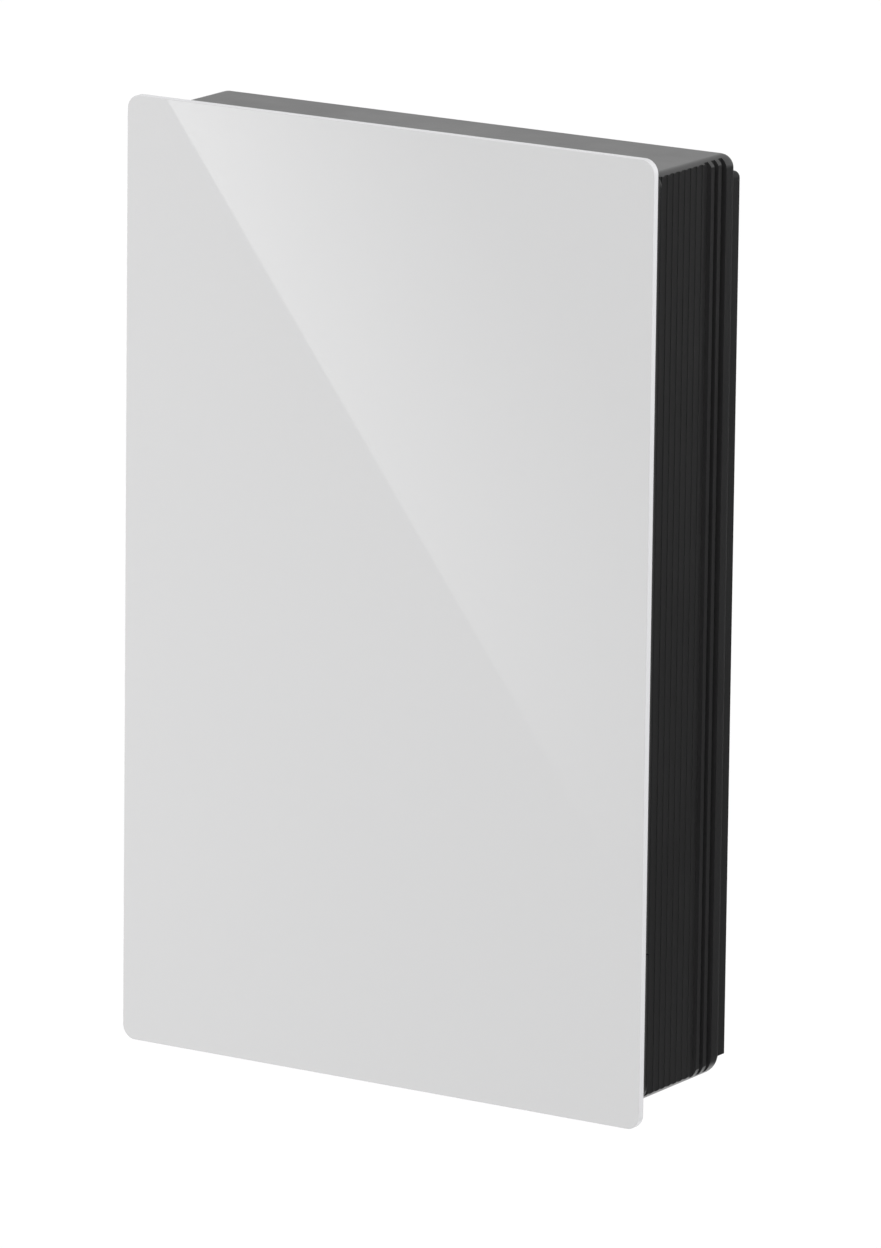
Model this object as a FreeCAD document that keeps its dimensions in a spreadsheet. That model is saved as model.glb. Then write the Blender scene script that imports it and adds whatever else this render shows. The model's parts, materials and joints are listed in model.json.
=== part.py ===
import FreeCAD, Part
import math
import os
import re
import Sketcher
from FreeCAD import Placement, Rotation, Vector

# A wall battery unit: a glass-fronted die-cast case, hung on a sheet bracket, that holds two rows
# of cells with a power stage above them and a wiring room below.
# Millimetres. X is to the right, Y into the wall and Z up. The origin is the centre of the four
# wall bolts, on the wall's plane, so the whole unit lies at negative Y, and "out" below is the
# distance from the wall.

doc = FreeCAD.newDocument("wall_battery_unit")
sheet = doc.addObject("Spreadsheet::Sheet", "Sizes")

SIZES = {
    # overall
    "unit_width": 417.0, "unit_height": 660.0, "unit_depth": 127.0,
    # front panel
    "panel_thickness": 5.7, "panel_corner": 10.0, "panel_edge_round": 0.8, "panel_gap": 3.5,
    "carrier_thickness": 2.3, "carrier_inset": 16.0,
    "clip_across": 150.0, "clip_inset": 68.0, "clip_radius": 3.0, "clip_gap": 0.15,
    "clip_wall": 2.0, "clip_collar": 1.6, "clip_flange": 1.2, "clip_reach": 0.6, "clip_foot": 7.8,
    "clip_rim": 7.0,
    "bumper_across": 176.0, "bumper_inset": 44.0, "bumper_radius": 7.0, "bumper_gap": 0.3,
    # case
    "side_overhang": 3.3, "top_overhang": 12.1, "foot_overhang": 13.8, "case_standoff": 14.6,
    "case_top_corner": 9.5, "case_foot_corner": 15.5, "case_edge_round": 1.6,
    "case_back_round": 8.0, "back_wall": 6.0, "end_wall": 6.0, "side_wall": 2.4,
    "inner_corner": 6.0, "partition_top": -208.0, "partition_thickness": 6.0,
    "cover_thickness": 2.5, "cover_gap": 1.0,
    "gasket_thickness": 0.5, "gasket_width": 5.0, "gasket_inset": 1.5,
    # ribs down both sides of the case
    "rim_length": 14.5, "side_recess": 3.0, "groove_depth": 0.5, "valley_depth": 1.2,
    "rib_pitch": 7.4, "rib_width": 3.0, "lip_width": 4.1, "lip_valley": 4.9, "lip_recess": 1.0,
    # cooling fins on the back
    "fin_pitch": 12.0, "fin_thickness": 3.0, "fin_height": 8.5, "fin_low": 55.0, "fin_top": 270.0,
    # wall bracket and hooks
    "bracket_inset": 7.2, "bracket_top_inset": 15.4, "bracket_foot_inset": 10.2, "hang_gap": 2.5,
    "bracket_sheet": 3.0, "flange_sheet": 2.5, "bracket_corner": 4.5,
    "slot_pitch": 40.0, "slot_length": 28.0,
    "bolt_spacing_across": 320.0, "bolt_spacing_up": 480.0, "bolt_hole_radius": 4.5,
    "stud_across": 130.0, "stud_up": 200.0, "stud_radius": 4.0, "stud_head_radius": 8.0,
    "stud_head_height": 3.0, "stud_play": 2.4, "hook_sheet": 2.5, "hook_play": 0.3,
    "hook_clear": 2.0, "hook_half": 14.5, "hook_foot": 11.0, "hook_drop": 13.0,
    "hook_rise": 26.0, "hook_tap": 4.5, "hook_screw_low": 4.0, "hook_screw_high": 18.0,
    # cells
    "cell_width": 21.0, "cell_length": 173.0, "cell_depth": 80.0, "cell_gap": 1.0,
    "pad_thickness": 2.3, "row_gap": 6.0, "battery_low": -204.0, "end_plate": 8.0,
    "bar_sheet": 2.0, "bar_inset": 20.0, "link_sheet": 2.5, "link_height": 16.0,
    "link_inset": 8.0, "link_margin": 3.0, "sense_sheet": 1.2, "sense_rise": 32.0,
    "sense_height": 8.0, "sense_margin": 12.0,
    # fans
    "shelf_gap": 4.0, "shelf_sheet": 2.0, "shelf_inset": 4.0, "fan_size": 60.0,
    "fan_height": 15.0, "fan_out": 64.0, "fan_across": 105.0, "fan_bore": 28.5, "fan_hub": 14.0,
    "fan_tip_gap": 1.0, "fan_end_gap": 1.5, "fan_arm": 2.0, "arm_sheet": 2.0, "fan_pin": 2.0,
    "fan_pin_gap": 0.1, "pin_rise": 4.0, "blade_sheet": 1.5,
    # power stage
    "board_sheet": 1.6, "board_out": 60.0, "board_low": 178.0, "board_top": 302.0,
    "board_half": 184.0, "post_radius": 4.0, "post_across": 176.0, "post_inset": 7.0,
    "post_tap": 12.0, "board_screw": 8.0, "module_width": 34.0, "module_height": 60.0,
    "module_rise": 62.0, "module_gap": 2.0,
    "module_near": 40.0, "module_middle": 84.0, "module_far": 132.0,
    "capacitor_radius": 13.0, "capacitor_height": 38.0, "capacitor_left": 20.0,
    "capacitor_step": 32.0, "capacitor_rise": 34.0,
    "choke_radius": 20.0, "choke_bore": 9.0, "choke_height": 22.0, "choke_left": -140.0,
    "choke_step": 48.0, "choke_rise": 30.0, "relay_width": 30.0, "relay_height": 18.0,
    "relay_depth": 22.0, "relay_left": -152.0, "relay_step": 38.0, "relay_rise": 70.0,
    "control_out": 96.0, "control_left": -168.0, "control_right": -24.0, "control_rise": 54.0,
    "control_gap": 4.0, "control_inset": 6.0, "control_post_low": 88.0, "control_post_radius": 3.4,
    "control_screw": 6.0, "plug_width": 24.0, "plug_height": 9.0, "plug_depth": 6.0,
    "plug_left": -140.0, "plug_step": 32.0, "plug_rise": 62.0,
    "riser_left": 142.0, "riser_step": 22.0, "riser_rise": 12.0, "riser_width": 12.0,
    "terminal_post": 5.0, "terminal_base": 8.0, "terminal_foot": 3.0,
    # wiring room
    "contactor_left": -127.0, "contactor_step": 44.0, "contactor_up": -262.0,
    "contactor_width": 38.0, "contactor_height": 56.0, "contactor_front": 84.0,
    "contactor_pole": 18.0, "pole_height": 6.0, "supply_width": 16.0, "window_margin": 25.0,
    "window_clear": 3.0,
    "fuse_left": -52.0, "fuse_length": 68.0, "fuse_up": -236.0, "fuse_out": 47.0,
    "fuse_radius": 9.0, "fuse_cap": 7.0, "fuse_floor": 34.0, "fuse_base_height": 24.0,
    "fuse_jaw": 5.0, "fuse_shoulder": 5.0,
    "isolator_across": 46.0, "isolator_up": -252.0, "isolator_width": 36.0,
    "isolator_height": 64.0, "isolator_front": 82.0, "toggle_out": 89.0, "toggle_tip": 108.0,
    "toggle_pin": 2.0, "toggle_barrel": 5.0, "toggle_width": 12.0, "toggle_thickness": 5.0,
    "ear_inner": 8.0, "ear_sheet": 4.0, "ear_half": 8.0, "ear_play": 0.4, "ear_front": 94.0,
    "terminal_left": 78.0, "terminal_step": 16.0, "terminal_up": -241.0,
    "terminal_height": 22.0, "terminal_front": 50.0, "terminal_screw": 3.0, "terminal_rise": 4.0,
    "fence_sheet": 2.0,
    "fence_front": 56.0, "ground_bar_across": 170.0, "ground_bar_width": 12.0,
    "ground_bar_front": 32.0, "ground_bar_low": -285.0, "ground_bar_step": 12.0,
    "ground_bar_end": 11.0, "ground_bar_screw": 6.0,
    # screws
    "screw_radius": 2.0, "screw_head": 4.0, "screw_head_height": 2.2, "screw_length": 16.0,
    "screw_gap": 0.1, "boss_radius": 5.5, "screw_inset": 20.0, "screw_high": 184.0,
    "screw_middle": 62.0, "wiring_screw_up": -222.0,
    # fittings in the bottom wall
    "hub_across": 118.0, "fittings_out": 64.0, "hub_bore": 13.5, "hub_wall": 2.4,
    "hub_radius": 18.0, "hub_drop": 12.0, "hub_nut": 42.0, "nut_height": 5.0, "fit_gap": 0.1,
    "gland_across": 4.0, "gland_step": 52.0, "gland_radius": 7.9, "gland_bore": 5.2,
    "gland_nut": 22.0, "gland_collar": 5.0, "gland_dome": 9.4, "gland_drop": 11.0,
    "plug_rim": 1.5, "plug_flange": 7.0, "plug_reach": 4.0,
    "vent_across": -90.0, "vent_neck": 5.9, "vent_radius": 10.0, "vent_drop": 4.0,
    "ground_across": 168.0, "ground_out": 50.0, "ground_radius": 3.0, "ground_nut": 10.0,
    # rocker and status light on the left side
    "switch_out": 70.0, "switch_up": -262.0, "pad_half": 17.0, "pad_low": 20.0, "pad_rise": 38.0,
    "bezel_half": 9.0, "bezel_rise": 12.5, "bezel_sheet": 1.6, "neck_half": 6.4,
    "neck_rise": 9.4, "neck_length": 12.0, "pad_overlap": 0.5,
    "well_half": 5.0, "well_rise": 8.0, "well_depth": 6.0,
    "rocker_gap": 0.4, "rocker_proud": 1.8, "rocker_depth": 3.2, "rocker_rise": 7.2,
    "rocker_pin": 0.8, "rocker_pin_gap": 0.05, "rocker_axis": 1.0,
    "pin_overlap": 0.5,
    "light_up": 24.0, "light_half": 1.9, "light_rise": 7.9, "light_proud": 0.4,
    "light_flange": 4.0, "light_flange_sheet": 2.5, "light_flange_rise": 9.5,
    "light_board_half": 8.0, "light_board_rise": 10.0,
}
for row, (alias, value) in enumerate(SIZES.items(), start=1):
    sheet.set(f"A{row}", alias.replace("_", " "))
    sheet.set(f"B{row}", str(value))
    sheet.setAlias(f"B{row}", alias)
doc.recompute()

# Places that follow from the sizes, as formulas on the sheet.
PANEL_SIDE = "(unit_width / 2)"
PANEL_TOP = "(unit_height / 2)"
CASE_SIDE = f"({PANEL_SIDE} - side_overhang)"
CASE_TOP = f"({PANEL_TOP} - top_overhang)"
CASE_LOW = f"(foot_overhang - {PANEL_TOP})"
PANEL_FRONT = "unit_depth"
PANEL_BACK = "(unit_depth - panel_thickness)"
CARRIER_BACK = f"({PANEL_BACK} - carrier_thickness)"
COVER_FRONT = f"({CARRIER_BACK} - panel_gap)"
COVER_BACK = f"({COVER_FRONT} - cover_thickness)"
TUB_FRONT = f"({COVER_BACK} - gasket_thickness)"
BRACKET_SIDE = f"({CASE_SIDE} - bracket_inset)"
BRACKET_TOP = f"({CASE_TOP} - bracket_top_inset)"
BRACKET_LOW = f"({CASE_LOW} + bracket_foot_inset)"
BRACKET_FRONT = "(case_standoff - hang_gap)"
FLOOR = "(case_standoff + back_wall)"
ROOM_SIDE = f"({CASE_SIDE} - side_recess - valley_depth - side_wall)"
ROOM_TOP = f"({CASE_TOP} - end_wall)"
ROOM_LOW = f"({CASE_LOW} + end_wall)"
PARTITION_LOW = "(partition_top - partition_thickness)"
BOSS_X = f"({ROOM_SIDE} - 0.8 * boss_radius)"
COVER_JOINT = "(partition_top - partition_thickness / 2)"
CELL_BACK = f"({FLOOR} + pad_thickness)"
CELL_FRONT = f"({CELL_BACK} + cell_depth)"
LINK_FRONT = f"({CELL_FRONT} + link_sheet)"
BATTERY_TOP = "(battery_low + 2 * cell_length + row_gap)"
SHELF_LOW = f"({BATTERY_TOP} + shelf_gap)"
SHELF_TOP = f"({SHELF_LOW} + shelf_sheet)"
BOARD_FRONT = "(board_out + board_sheet)"
CONTROL_FRONT = "(control_out + board_sheet)"
LIGHT_UP = "(switch_up + light_up)"

CELLS_IN_ROW = 16
ROWS = 2
FINE_RIBS = 8
FINS = 17
FAN_BLADES = 7
TERMINALS = 4
BLADE_PITCH = 25
TOGGLE_OFF = -25
ROCKER_OFF = -7
LEFT_AND_RIGHT = (-1, 1)
TURN_TO_X = Rotation(Vector(0, 1, 0), 90)
TURN_TO_WALL = Rotation(Vector(1, 0, 0), -90)
kept = []


def spell(formula):
    """A formula with each size's name written as the sheet's cell."""
    return re.sub(r"[a-z][a-z_]+", lambda word: "Sizes." + word.group(), str(formula))


def bind(thing, **formulas):
    """Tie an object's properties to formulas on the sheet."""
    for field, formula in formulas.items():
        thing.setExpression(field, spell(formula))
    return thing


def put(thing, x, out, z):
    """Tie an object's place to formulas: across, out from the wall, and up."""
    for axis, formula in (("x", x), ("y", f"-({out})"), ("z", z)):
        thing.setExpression("Placement.Base." + axis, spell(formula))
    return thing


def box(x, out, z):
    """A box between two places along each direction."""
    block = bind(doc.addObject("Part::Box", "Block"), Length=f"({x[1]}) - ({x[0]})",
                 Width=f"({out[1]}) - ({out[0]})", Height=f"({z[1]}) - ({z[0]})")
    return put(block, x[0], out[1], z[0])


def middle_box(x, out, z, wide, tall):
    """A box given by the middle of its front and by its breadth and height."""
    return box((f"({x}) - ({wide}) / 2", f"({x}) + ({wide}) / 2"), out,
               (f"({z}) - ({tall}) / 2", f"({z}) + ({tall}) / 2"))


def peg(x, out, z, radius):
    """A round peg that points away from the wall."""
    rod = bind(doc.addObject("Part::Cylinder", "Peg"), Radius=radius,
               Height=f"({out[1]}) - ({out[0]})")
    rod.Placement = Placement(Vector(), TURN_TO_WALL)
    return put(rod, x, out[1], z)


def upright(x, out, z, radius):
    """A round rod that stands along Z."""
    rod = bind(doc.addObject("Part::Cylinder", "Upright"), Radius=radius,
               Height=f"({z[1]}) - ({z[0]})")
    return put(rod, x, out, z[0])


def crossbar(x, out, z, radius):
    """A round rod that lies along X."""
    rod = bind(doc.addObject("Part::Cylinder", "Crossbar"), Radius=radius,
               Height=f"({x[1]}) - ({x[0]})")
    rod.Placement = Placement(Vector(), TURN_TO_X)
    return put(rod, x[0], out, z)


def fuse(*pieces):
    """One solid made of pieces that touch."""
    joined = doc.addObject("Part::MultiFuse", "Joined")
    joined.Shapes = list(pieces)
    joined.Refine = True
    return joined


def group(pieces):
    """Separate solids kept in one node."""
    together = doc.addObject("Part::Compound", "Group")
    together.Links = list(pieces)
    return together


def cut(base, *tools):
    """A piece with others taken away from it."""
    result = doc.addObject("Part::Cut", "Cut")
    result.Base = base
    result.Tool = tools[0] if len(tools) == 1 else group(tools)
    result.Refine = True
    return result


def cut_all(base, tools):
    """A piece with many tools, which may cross each other, taken away from it."""
    result = doc.addObject("Part::Cut", "Cut")
    result.Base = base
    result.Tool = fuse(*tools)
    result.Refine = True
    return result


def keep(piece, name):
    """Make a piece a node of the part, under its own name."""
    piece.Label = name
    kept.append(piece)
    return piece


def slab(x, out, z, top_corner, foot_corner=None, front_round=None, back_round=None):
    """A plate parallel to the wall with rounded corners, as a sketch and a pad."""
    body = doc.addObject("PartDesign::Body", "Plate")
    outline = body.newObject("Sketcher::SketchObject", "Outline")
    wall = next(item for item in body.Origin.OriginFeatures if item.Role == "XZ_Plane")
    outline.AttachmentSupport = (wall, [""])
    outline.MapMode = "FlatFace"
    for axis, formula in (("x", x[0]), ("y", z[0]), ("z", out[0])):
        outline.setExpression("AttachmentOffset.Base." + axis, spell(formula))
    points = [Vector(0, 0, 0), Vector(50, 0, 0), Vector(50, 80, 0), Vector(0, 80, 0)]
    for side in range(4):
        outline.addGeometry(Part.LineSegment(points[side], points[(side + 1) % 4]), False)
    for side in range(4):
        outline.addConstraint(Sketcher.Constraint("Coincident", side, 2, (side + 1) % 4, 1))
        outline.addConstraint(Sketcher.Constraint(("Horizontal", "Vertical")[side % 2], side))
    outline.addConstraint(Sketcher.Constraint("Coincident", 0, 1, -1, 1))
    for kind, side, name, span in (("DistanceX", 0, "breadth", x), ("DistanceY", 1, "rise", z)):
        number = outline.addConstraint(Sketcher.Constraint(kind, side, 1, side, 2, 50))
        outline.renameConstraint(number, name)
        outline.setExpression("Constraints." + name, spell(f"({span[1]}) - ({span[0]})"))
    pad = body.newObject("PartDesign::Pad", "Pad")
    pad.Profile = outline
    bind(pad, Length=f"({out[1]}) - ({out[0]})")
    doc.recompute()
    tip = pad
    for level, radius in (("ZMax", top_corner), ("ZMin", foot_corner)):
        if radius:
            tip = round_off(body, tip, "Y", level, radius)
    for level, radius in (("YMin", front_round), ("YMax", back_round)):
        if radius:
            tip = round_off(body, tip, "XZ", level, radius)
    return body


def round_off(body, tip, along, level, radius):
    """Fillet the edges of a body's last feature that lie at one of its limits."""
    limit = getattr(tip.Shape.BoundBox, level)
    flat = level[0]
    edges = [f"Edge{index}" for index, edge in enumerate(tip.Shape.Edges, start=1)
             if abs(getattr(edge.BoundBox, flat + "Min") - limit) < 1e-6
             and abs(getattr(edge.BoundBox, flat + "Max") - limit) < 1e-6
             and any(getattr(edge.BoundBox, axis + "Length") > 1e-6 for axis in along)]
    fillet = body.newObject("PartDesign::Fillet", "Round")
    fillet.Base = (tip, edges)
    bind(fillet, Radius=radius)
    doc.recompute()
    return fillet


def side_cut(side, out, depth):
    """A long shallow cut down the whole of one side of the case."""
    near, far = f"({CASE_SIDE} - {depth})", f"({CASE_SIDE} + 1)"
    return box((near, far) if side > 0 else (f"-{far}", f"-{near}"), out,
               (f"{CASE_LOW} - 1", f"{CASE_TOP} + 1"))


def tilt_about_x(piece, degrees, out, z):
    """Turn a piece about a pin that lies along X, by the right-hand rule."""
    c, s = math.cos(math.radians(degrees)), math.sin(math.radians(degrees))
    piece.Placement = Placement(Vector(), Rotation(Vector(1, 0, 0), degrees))
    piece.setExpression("Placement.Base.y", spell(f"-({out}) * (1 - {c:.9f}) + ({z}) * {s:.9f}"))
    piece.setExpression("Placement.Base.z", spell(f"({z}) * (1 - {c:.9f}) + ({out}) * {s:.9f}"))
    return piece


def tilt_about_y(piece, degrees, x, z):
    """Turn a piece about a pin that points at the wall, by the right-hand rule."""
    c, s = math.cos(math.radians(degrees)), math.sin(math.radians(degrees))
    piece.Placement = Placement(Vector(), Rotation(Vector(0, 1, 0), degrees))
    piece.setExpression("Placement.Base.x", spell(f"({x}) * (1 - {c:.9f}) - ({z}) * {s:.9f}"))
    piece.setExpression("Placement.Base.z", spell(f"({z}) * (1 - {c:.9f}) + ({x}) * {s:.9f}"))
    return piece


def screws(places, head_back, length):
    """Pan-head screws that point at the wall, with the undersides of their heads at head_back."""
    return [fuse(peg(x, (f"{head_back} - {length}", head_back), z, "screw_radius"),
                 peg(x, (head_back, f"{head_back} + screw_head_height"), z, "screw_head"))
            for x, z in places]


def holes(places, out, radius="(screw_radius + screw_gap)"):
    """Tools for round holes that point at the wall, as wide as a screw needs or as given."""
    return [peg(x, out, z, radius) for x, z in places]


def through(near, far):
    """The reach of a tool that cuts from one depth to another and a little beyond both."""
    return f"{near} - 1", f"{far} + 1"


def tapped_post(x, out, z, radius):
    """A round post with a tapped hole in its front end."""
    return cut(peg(x, out, z, radius),
               peg(x, (f"{out[1]} - post_tap", f"{out[1]} + 1"), z, "screw_radius + screw_gap"))


def hexagon(x, out, z, across):
    """A six-sided nut blank that stands along Z."""
    blank = bind(doc.addObject("Part::Prism", "Hexagon"), Circumradius=f"({across}) / 3 ^ 0.5",
                 Height=f"({z[1]}) - ({z[0]})")
    blank.Polygon = 6
    return put(blank, x, out, z[0])


# --- Wall bracket: a drawn steel pan, open at the bottom so that air rises behind the case ---
bolt_places = [(f"{i} * bolt_spacing_across / 2", f"{k} * bolt_spacing_up / 2")
               for i in LEFT_AND_RIGHT for k in (-1, 1)]
stud_places = [(f"{i} * stud_across", f"{k} * stud_up") for i in LEFT_AND_RIGHT for k in (-1, 1)]
pan = slab((f"-{BRACKET_SIDE}", BRACKET_SIDE), ("0", BRACKET_FRONT), (BRACKET_LOW, BRACKET_TOP),
           "bracket_corner")
pan_hollow = box((f"flange_sheet - {BRACKET_SIDE}", f"{BRACKET_SIDE} - flange_sheet"),
                 ("bracket_sheet", f"{BRACKET_FRONT} + 1"),
                 (f"{BRACKET_LOW} - 1", f"{BRACKET_TOP} - flange_sheet"))
sheet_depth = through("0", "bracket_sheet")
air_slots = [box((f"{i} * slot_pitch - slot_length / 2", f"{i} * slot_pitch + slot_length / 2"),
                 ("bracket_sheet + flange_sheet", f"{BRACKET_FRONT} - flange_sheet"),
                 (f"{BRACKET_TOP} - 2 * flange_sheet", f"{BRACKET_TOP} + 1")) for i in range(-4, 5)]
keep(cut(pan, pan_hollow, *holes(bolt_places, sheet_depth, "bolt_hole_radius"),
         *holes(stud_places, sheet_depth, "stud_radius"), *air_slots), "wall_bracket")
stud_neck = "(bracket_sheet + hook_play + hook_sheet + stud_play)"
keep(group(fuse(peg(x, ("0", stud_neck), z, "stud_radius"),
                peg(x, (stud_neck, f"{stud_neck} + stud_head_height"), z, "stud_head_radius"))
           for x, z in stud_places), "hanging_studs")

# --- Case: a die-cast tub, open at the front, with ribbed sides and fins on its back ---
case_x = (f"-{CASE_SIDE}", CASE_SIDE)
case_z = (CASE_LOW, CASE_TOP)
room_x = (f"-{ROOM_SIDE}", ROOM_SIDE)
tub = slab(case_x, ("case_standoff", TUB_FRONT), case_z, "case_top_corner", "case_foot_corner",
           back_round="case_back_round")
main_room = slab(room_x, (FLOOR, f"{TUB_FRONT} + 1"), ("partition_top", ROOM_TOP),
                 "inner_corner", "inner_corner")
wiring_room = slab(room_x, (FLOOR, f"{TUB_FRONT} + 1"), (ROOM_LOW, PARTITION_LOW),
                   "inner_corner", "inner_corner")

rim_front = "(case_standoff + rim_length)"
second_valley = f"({rim_front} + lip_valley + lip_width)"
fine_start = f"({second_valley} + lip_valley + lip_width)"
first_rib = f"({fine_start} + lip_valley)"
fine_end = f"({first_rib} + {FINE_RIBS} * rib_pitch)"
side_cuts = []
for side in LEFT_AND_RIGHT:
    side_cuts += [side_cut(side, (rim_front, fine_start), "lip_recess"),
                  side_cut(side, (fine_start, fine_end), "side_recess")]
    side_cuts += [side_cut(side, (valley, f"{valley} + lip_valley"), "(side_recess + valley_depth)")
                  for valley in (rim_front, second_valley, fine_start)]
    side_cuts += [side_cut(side, (f"{first_rib} + {rib} * rib_pitch + rib_width",
                                  f"{first_rib} + ({rib} + 1) * rib_pitch"),
                           "(side_recess + groove_depth)") for rib in range(FINE_RIBS)]
fins = [box((f"{i} * fin_pitch - fin_thickness / 2", f"{i} * fin_pitch + fin_thickness / 2"),
            ("case_standoff - fin_height", "case_standoff + 1"), ("fin_low", "fin_top"))
        for i in range(-(FINS // 2), FINS // 2 + 1)]

upper_screws = [(f"{i} * {BOSS_X}", z) for i in LEFT_AND_RIGHT
                for z in (f"{CASE_TOP} - screw_inset", "screw_high", "screw_middle",
                          "-screw_middle", "-screw_high")]
lower_screws = [(f"{i} * {BOSS_X}", z) for i in LEFT_AND_RIGHT
                for z in ("wiring_screw_up", f"{CASE_LOW} + screw_inset")]
bosses = holes(upper_screws + lower_screws, (f"{FLOOR} - 1", TUB_FRONT), "boss_radius")
taps = holes(upper_screws + lower_screws, (f"{TUB_FRONT} - screw_length", f"{TUB_FRONT} + 1"))
hook_screw_places = [(f"{x} + {i} * (hook_half + hook_foot / 2)", f"{z} + {rise}")
                     for x, z in stud_places for i in LEFT_AND_RIGHT
                     for rise in ("(-hook_screw_low)", "hook_screw_high")]
hook_taps = holes(hook_screw_places, ("case_standoff - 1", "case_standoff + hook_tap"))

gland_xs = [f"(gland_across + {i} * gland_step / 2)" for i in LEFT_AND_RIGHT]
foot_wall = through(CASE_LOW, ROOM_LOW)
foot_holes = [upright(x, "fittings_out", foot_wall, "gland_radius + fit_gap") for x in gland_xs]
foot_holes += [upright("hub_across", "fittings_out", foot_wall, "hub_bore + hub_wall + fit_gap"),
               upright("vent_across", "fittings_out", foot_wall, "vent_neck + fit_gap"),
               upright("ground_across", "ground_out", foot_wall, "ground_radius + fit_gap")]
pad_back = f"(pad_overlap - {ROOM_SIDE})"
switch_pad = box((f"-{CASE_SIDE}", pad_back), ("switch_out - pad_half", "switch_out + pad_half"),
                 ("switch_up - pad_low", "switch_up + pad_rise"))
side_wall_x = through(f"-{CASE_SIDE}", pad_back)
switch_hole = box(side_wall_x, ("switch_out - neck_half - fit_gap", "switch_out + neck_half + fit_gap"),
                  ("switch_up - neck_rise - fit_gap", "switch_up + neck_rise + fit_gap"))
light_hole = box(side_wall_x, ("switch_out - light_half - fit_gap", "switch_out + light_half + fit_gap"),
                 (f"{LIGHT_UP} - light_rise - fit_gap", f"{LIGHT_UP} + light_rise + fit_gap"))
link_window = box(("contactor_left - window_margin", "contactor_left + contactor_step + window_margin"),
                  (f"{LINK_FRONT} - window_clear", f"{TUB_FRONT} + 1"),
                  through(PARTITION_LOW, "partition_top"))
ribbed = cut_all(cut(tub, main_room, wiring_room), side_cuts)
keep(cut(fuse(ribbed, switch_pad, *fins, *bosses), *taps, *hook_taps, *foot_holes, switch_hole,
         light_hole, link_window), "main_case")

# --- Hooks: hat-shaped plates on the case's back whose open slots drop over the studs ---
hook_near = "(bracket_sheet + hook_play + hook_clear)"
hook_web = f"({hook_near} + hook_sheet)"
hook_foot_face = "(case_standoff - hook_sheet)"
hooks = []
for x, z in stud_places:
    span = (f"{z} - hook_drop", f"{z} + hook_rise")
    web = box((f"{x} - hook_half", f"{x} + hook_half"), (hook_near, hook_web), span)
    sides = [box((f"{x} - hook_half", f"{x} - hook_half + hook_sheet"), (hook_near, "case_standoff"), span),
             box((f"{x} + hook_half - hook_sheet", f"{x} + hook_half"), (hook_near, "case_standoff"), span)]
    feet = [box((f"{x} - hook_half - hook_foot", f"{x} - hook_half + hook_sheet"),
                (hook_foot_face, "case_standoff"), span),
            box((f"{x} + hook_half - hook_sheet", f"{x} + hook_half + hook_foot"),
                (hook_foot_face, "case_standoff"), span)]
    slot = box((f"{x} - stud_radius - hook_play", f"{x} + stud_radius + hook_play"),
               through(hook_near, hook_web), (f"{z} - hook_drop - 1", z))
    seat = peg(x, through(hook_near, hook_web), z, "stud_radius + hook_play")
    clearances = holes(hook_screw_places, through(hook_foot_face, "case_standoff"))
    hooks.append(cut_all(fuse(web, *sides, *feet), [slot, seat] + clearances))
keep(group(hooks), "hook_plates")
keep(group(fuse(peg(x, (hook_foot_face, "case_standoff + hook_tap - 0.5"), z, "screw_radius"),
                peg(x, (f"{hook_foot_face} - screw_head_height", hook_foot_face), z, "screw_head"))
           for x, z in hook_screw_places), "hook_screws")

# --- Front covers, their gaskets and screws ---
upper_z = (f"{COVER_JOINT} + cover_gap / 2", CASE_TOP)
lower_z = (CASE_LOW, f"{COVER_JOINT} - cover_gap / 2")
clip_rows = (f"{PANEL_TOP} - clip_inset", "0", f"clip_inset - {PANEL_TOP}")
clip_places = [(f"{i} * clip_across", z) for z in clip_rows for i in LEFT_AND_RIGHT]
bumper_places = [(f"{i} * bumper_across", z) for i in LEFT_AND_RIGHT
                 for z in (f"{PANEL_TOP} - bumper_inset", f"bumper_inset - {PANEL_TOP}")]
cover_depth = through(COVER_BACK, COVER_FRONT)
gasket_depth = through(TUB_FRONT, COVER_BACK)
gasket_inner = f"({CASE_SIDE} - side_recess - gasket_inset - gasket_width)"


def cover(z, screw_places, sockets):
    """One of the two covers: the stretch of the front plate between two heights."""
    plate = doc.addObject("Part::Common", "Cover")
    plate.Base = slab(case_x, (COVER_BACK, COVER_FRONT), case_z, "case_top_corner",
                      "case_foot_corner", front_round="case_edge_round")
    plate.Tool = box(through(*case_x), cover_depth, z)
    return cut(plate, *holes(screw_places, cover_depth),
               *holes(sockets, cover_depth, "clip_radius + clip_wall"))


def gasket(z, opening, screw_places):
    """A flat rubber frame that follows a cover's edge."""
    ring = doc.addObject("Part::Common", "Ring")
    ring.Base = box((f"gasket_inset - {CASE_SIDE}", f"{CASE_SIDE} - gasket_inset"),
                    (TUB_FRONT, COVER_BACK), z)
    ring.Tool = slab(case_x, gasket_depth, case_z, "case_top_corner", "case_foot_corner")
    inside = box((f"-{gasket_inner}", gasket_inner), gasket_depth, opening)
    return cut_all(ring, [inside] + holes(screw_places, gasket_depth))


keep(cover(upper_z, upper_screws, clip_places[:4]), "battery_cover")
keep(cover(lower_z, lower_screws, clip_places[4:]), "wiring_cover")
keep(gasket(upper_z, ("partition_top", f"{CASE_TOP} - gasket_width"), upper_screws), "battery_gasket")
keep(gasket(lower_z, (f"{CASE_LOW} + gasket_width", PARTITION_LOW), lower_screws), "wiring_gasket")
keep(group(screws(upper_screws + lower_screws, COVER_FRONT, "screw_length")), "cover_screws")

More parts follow.
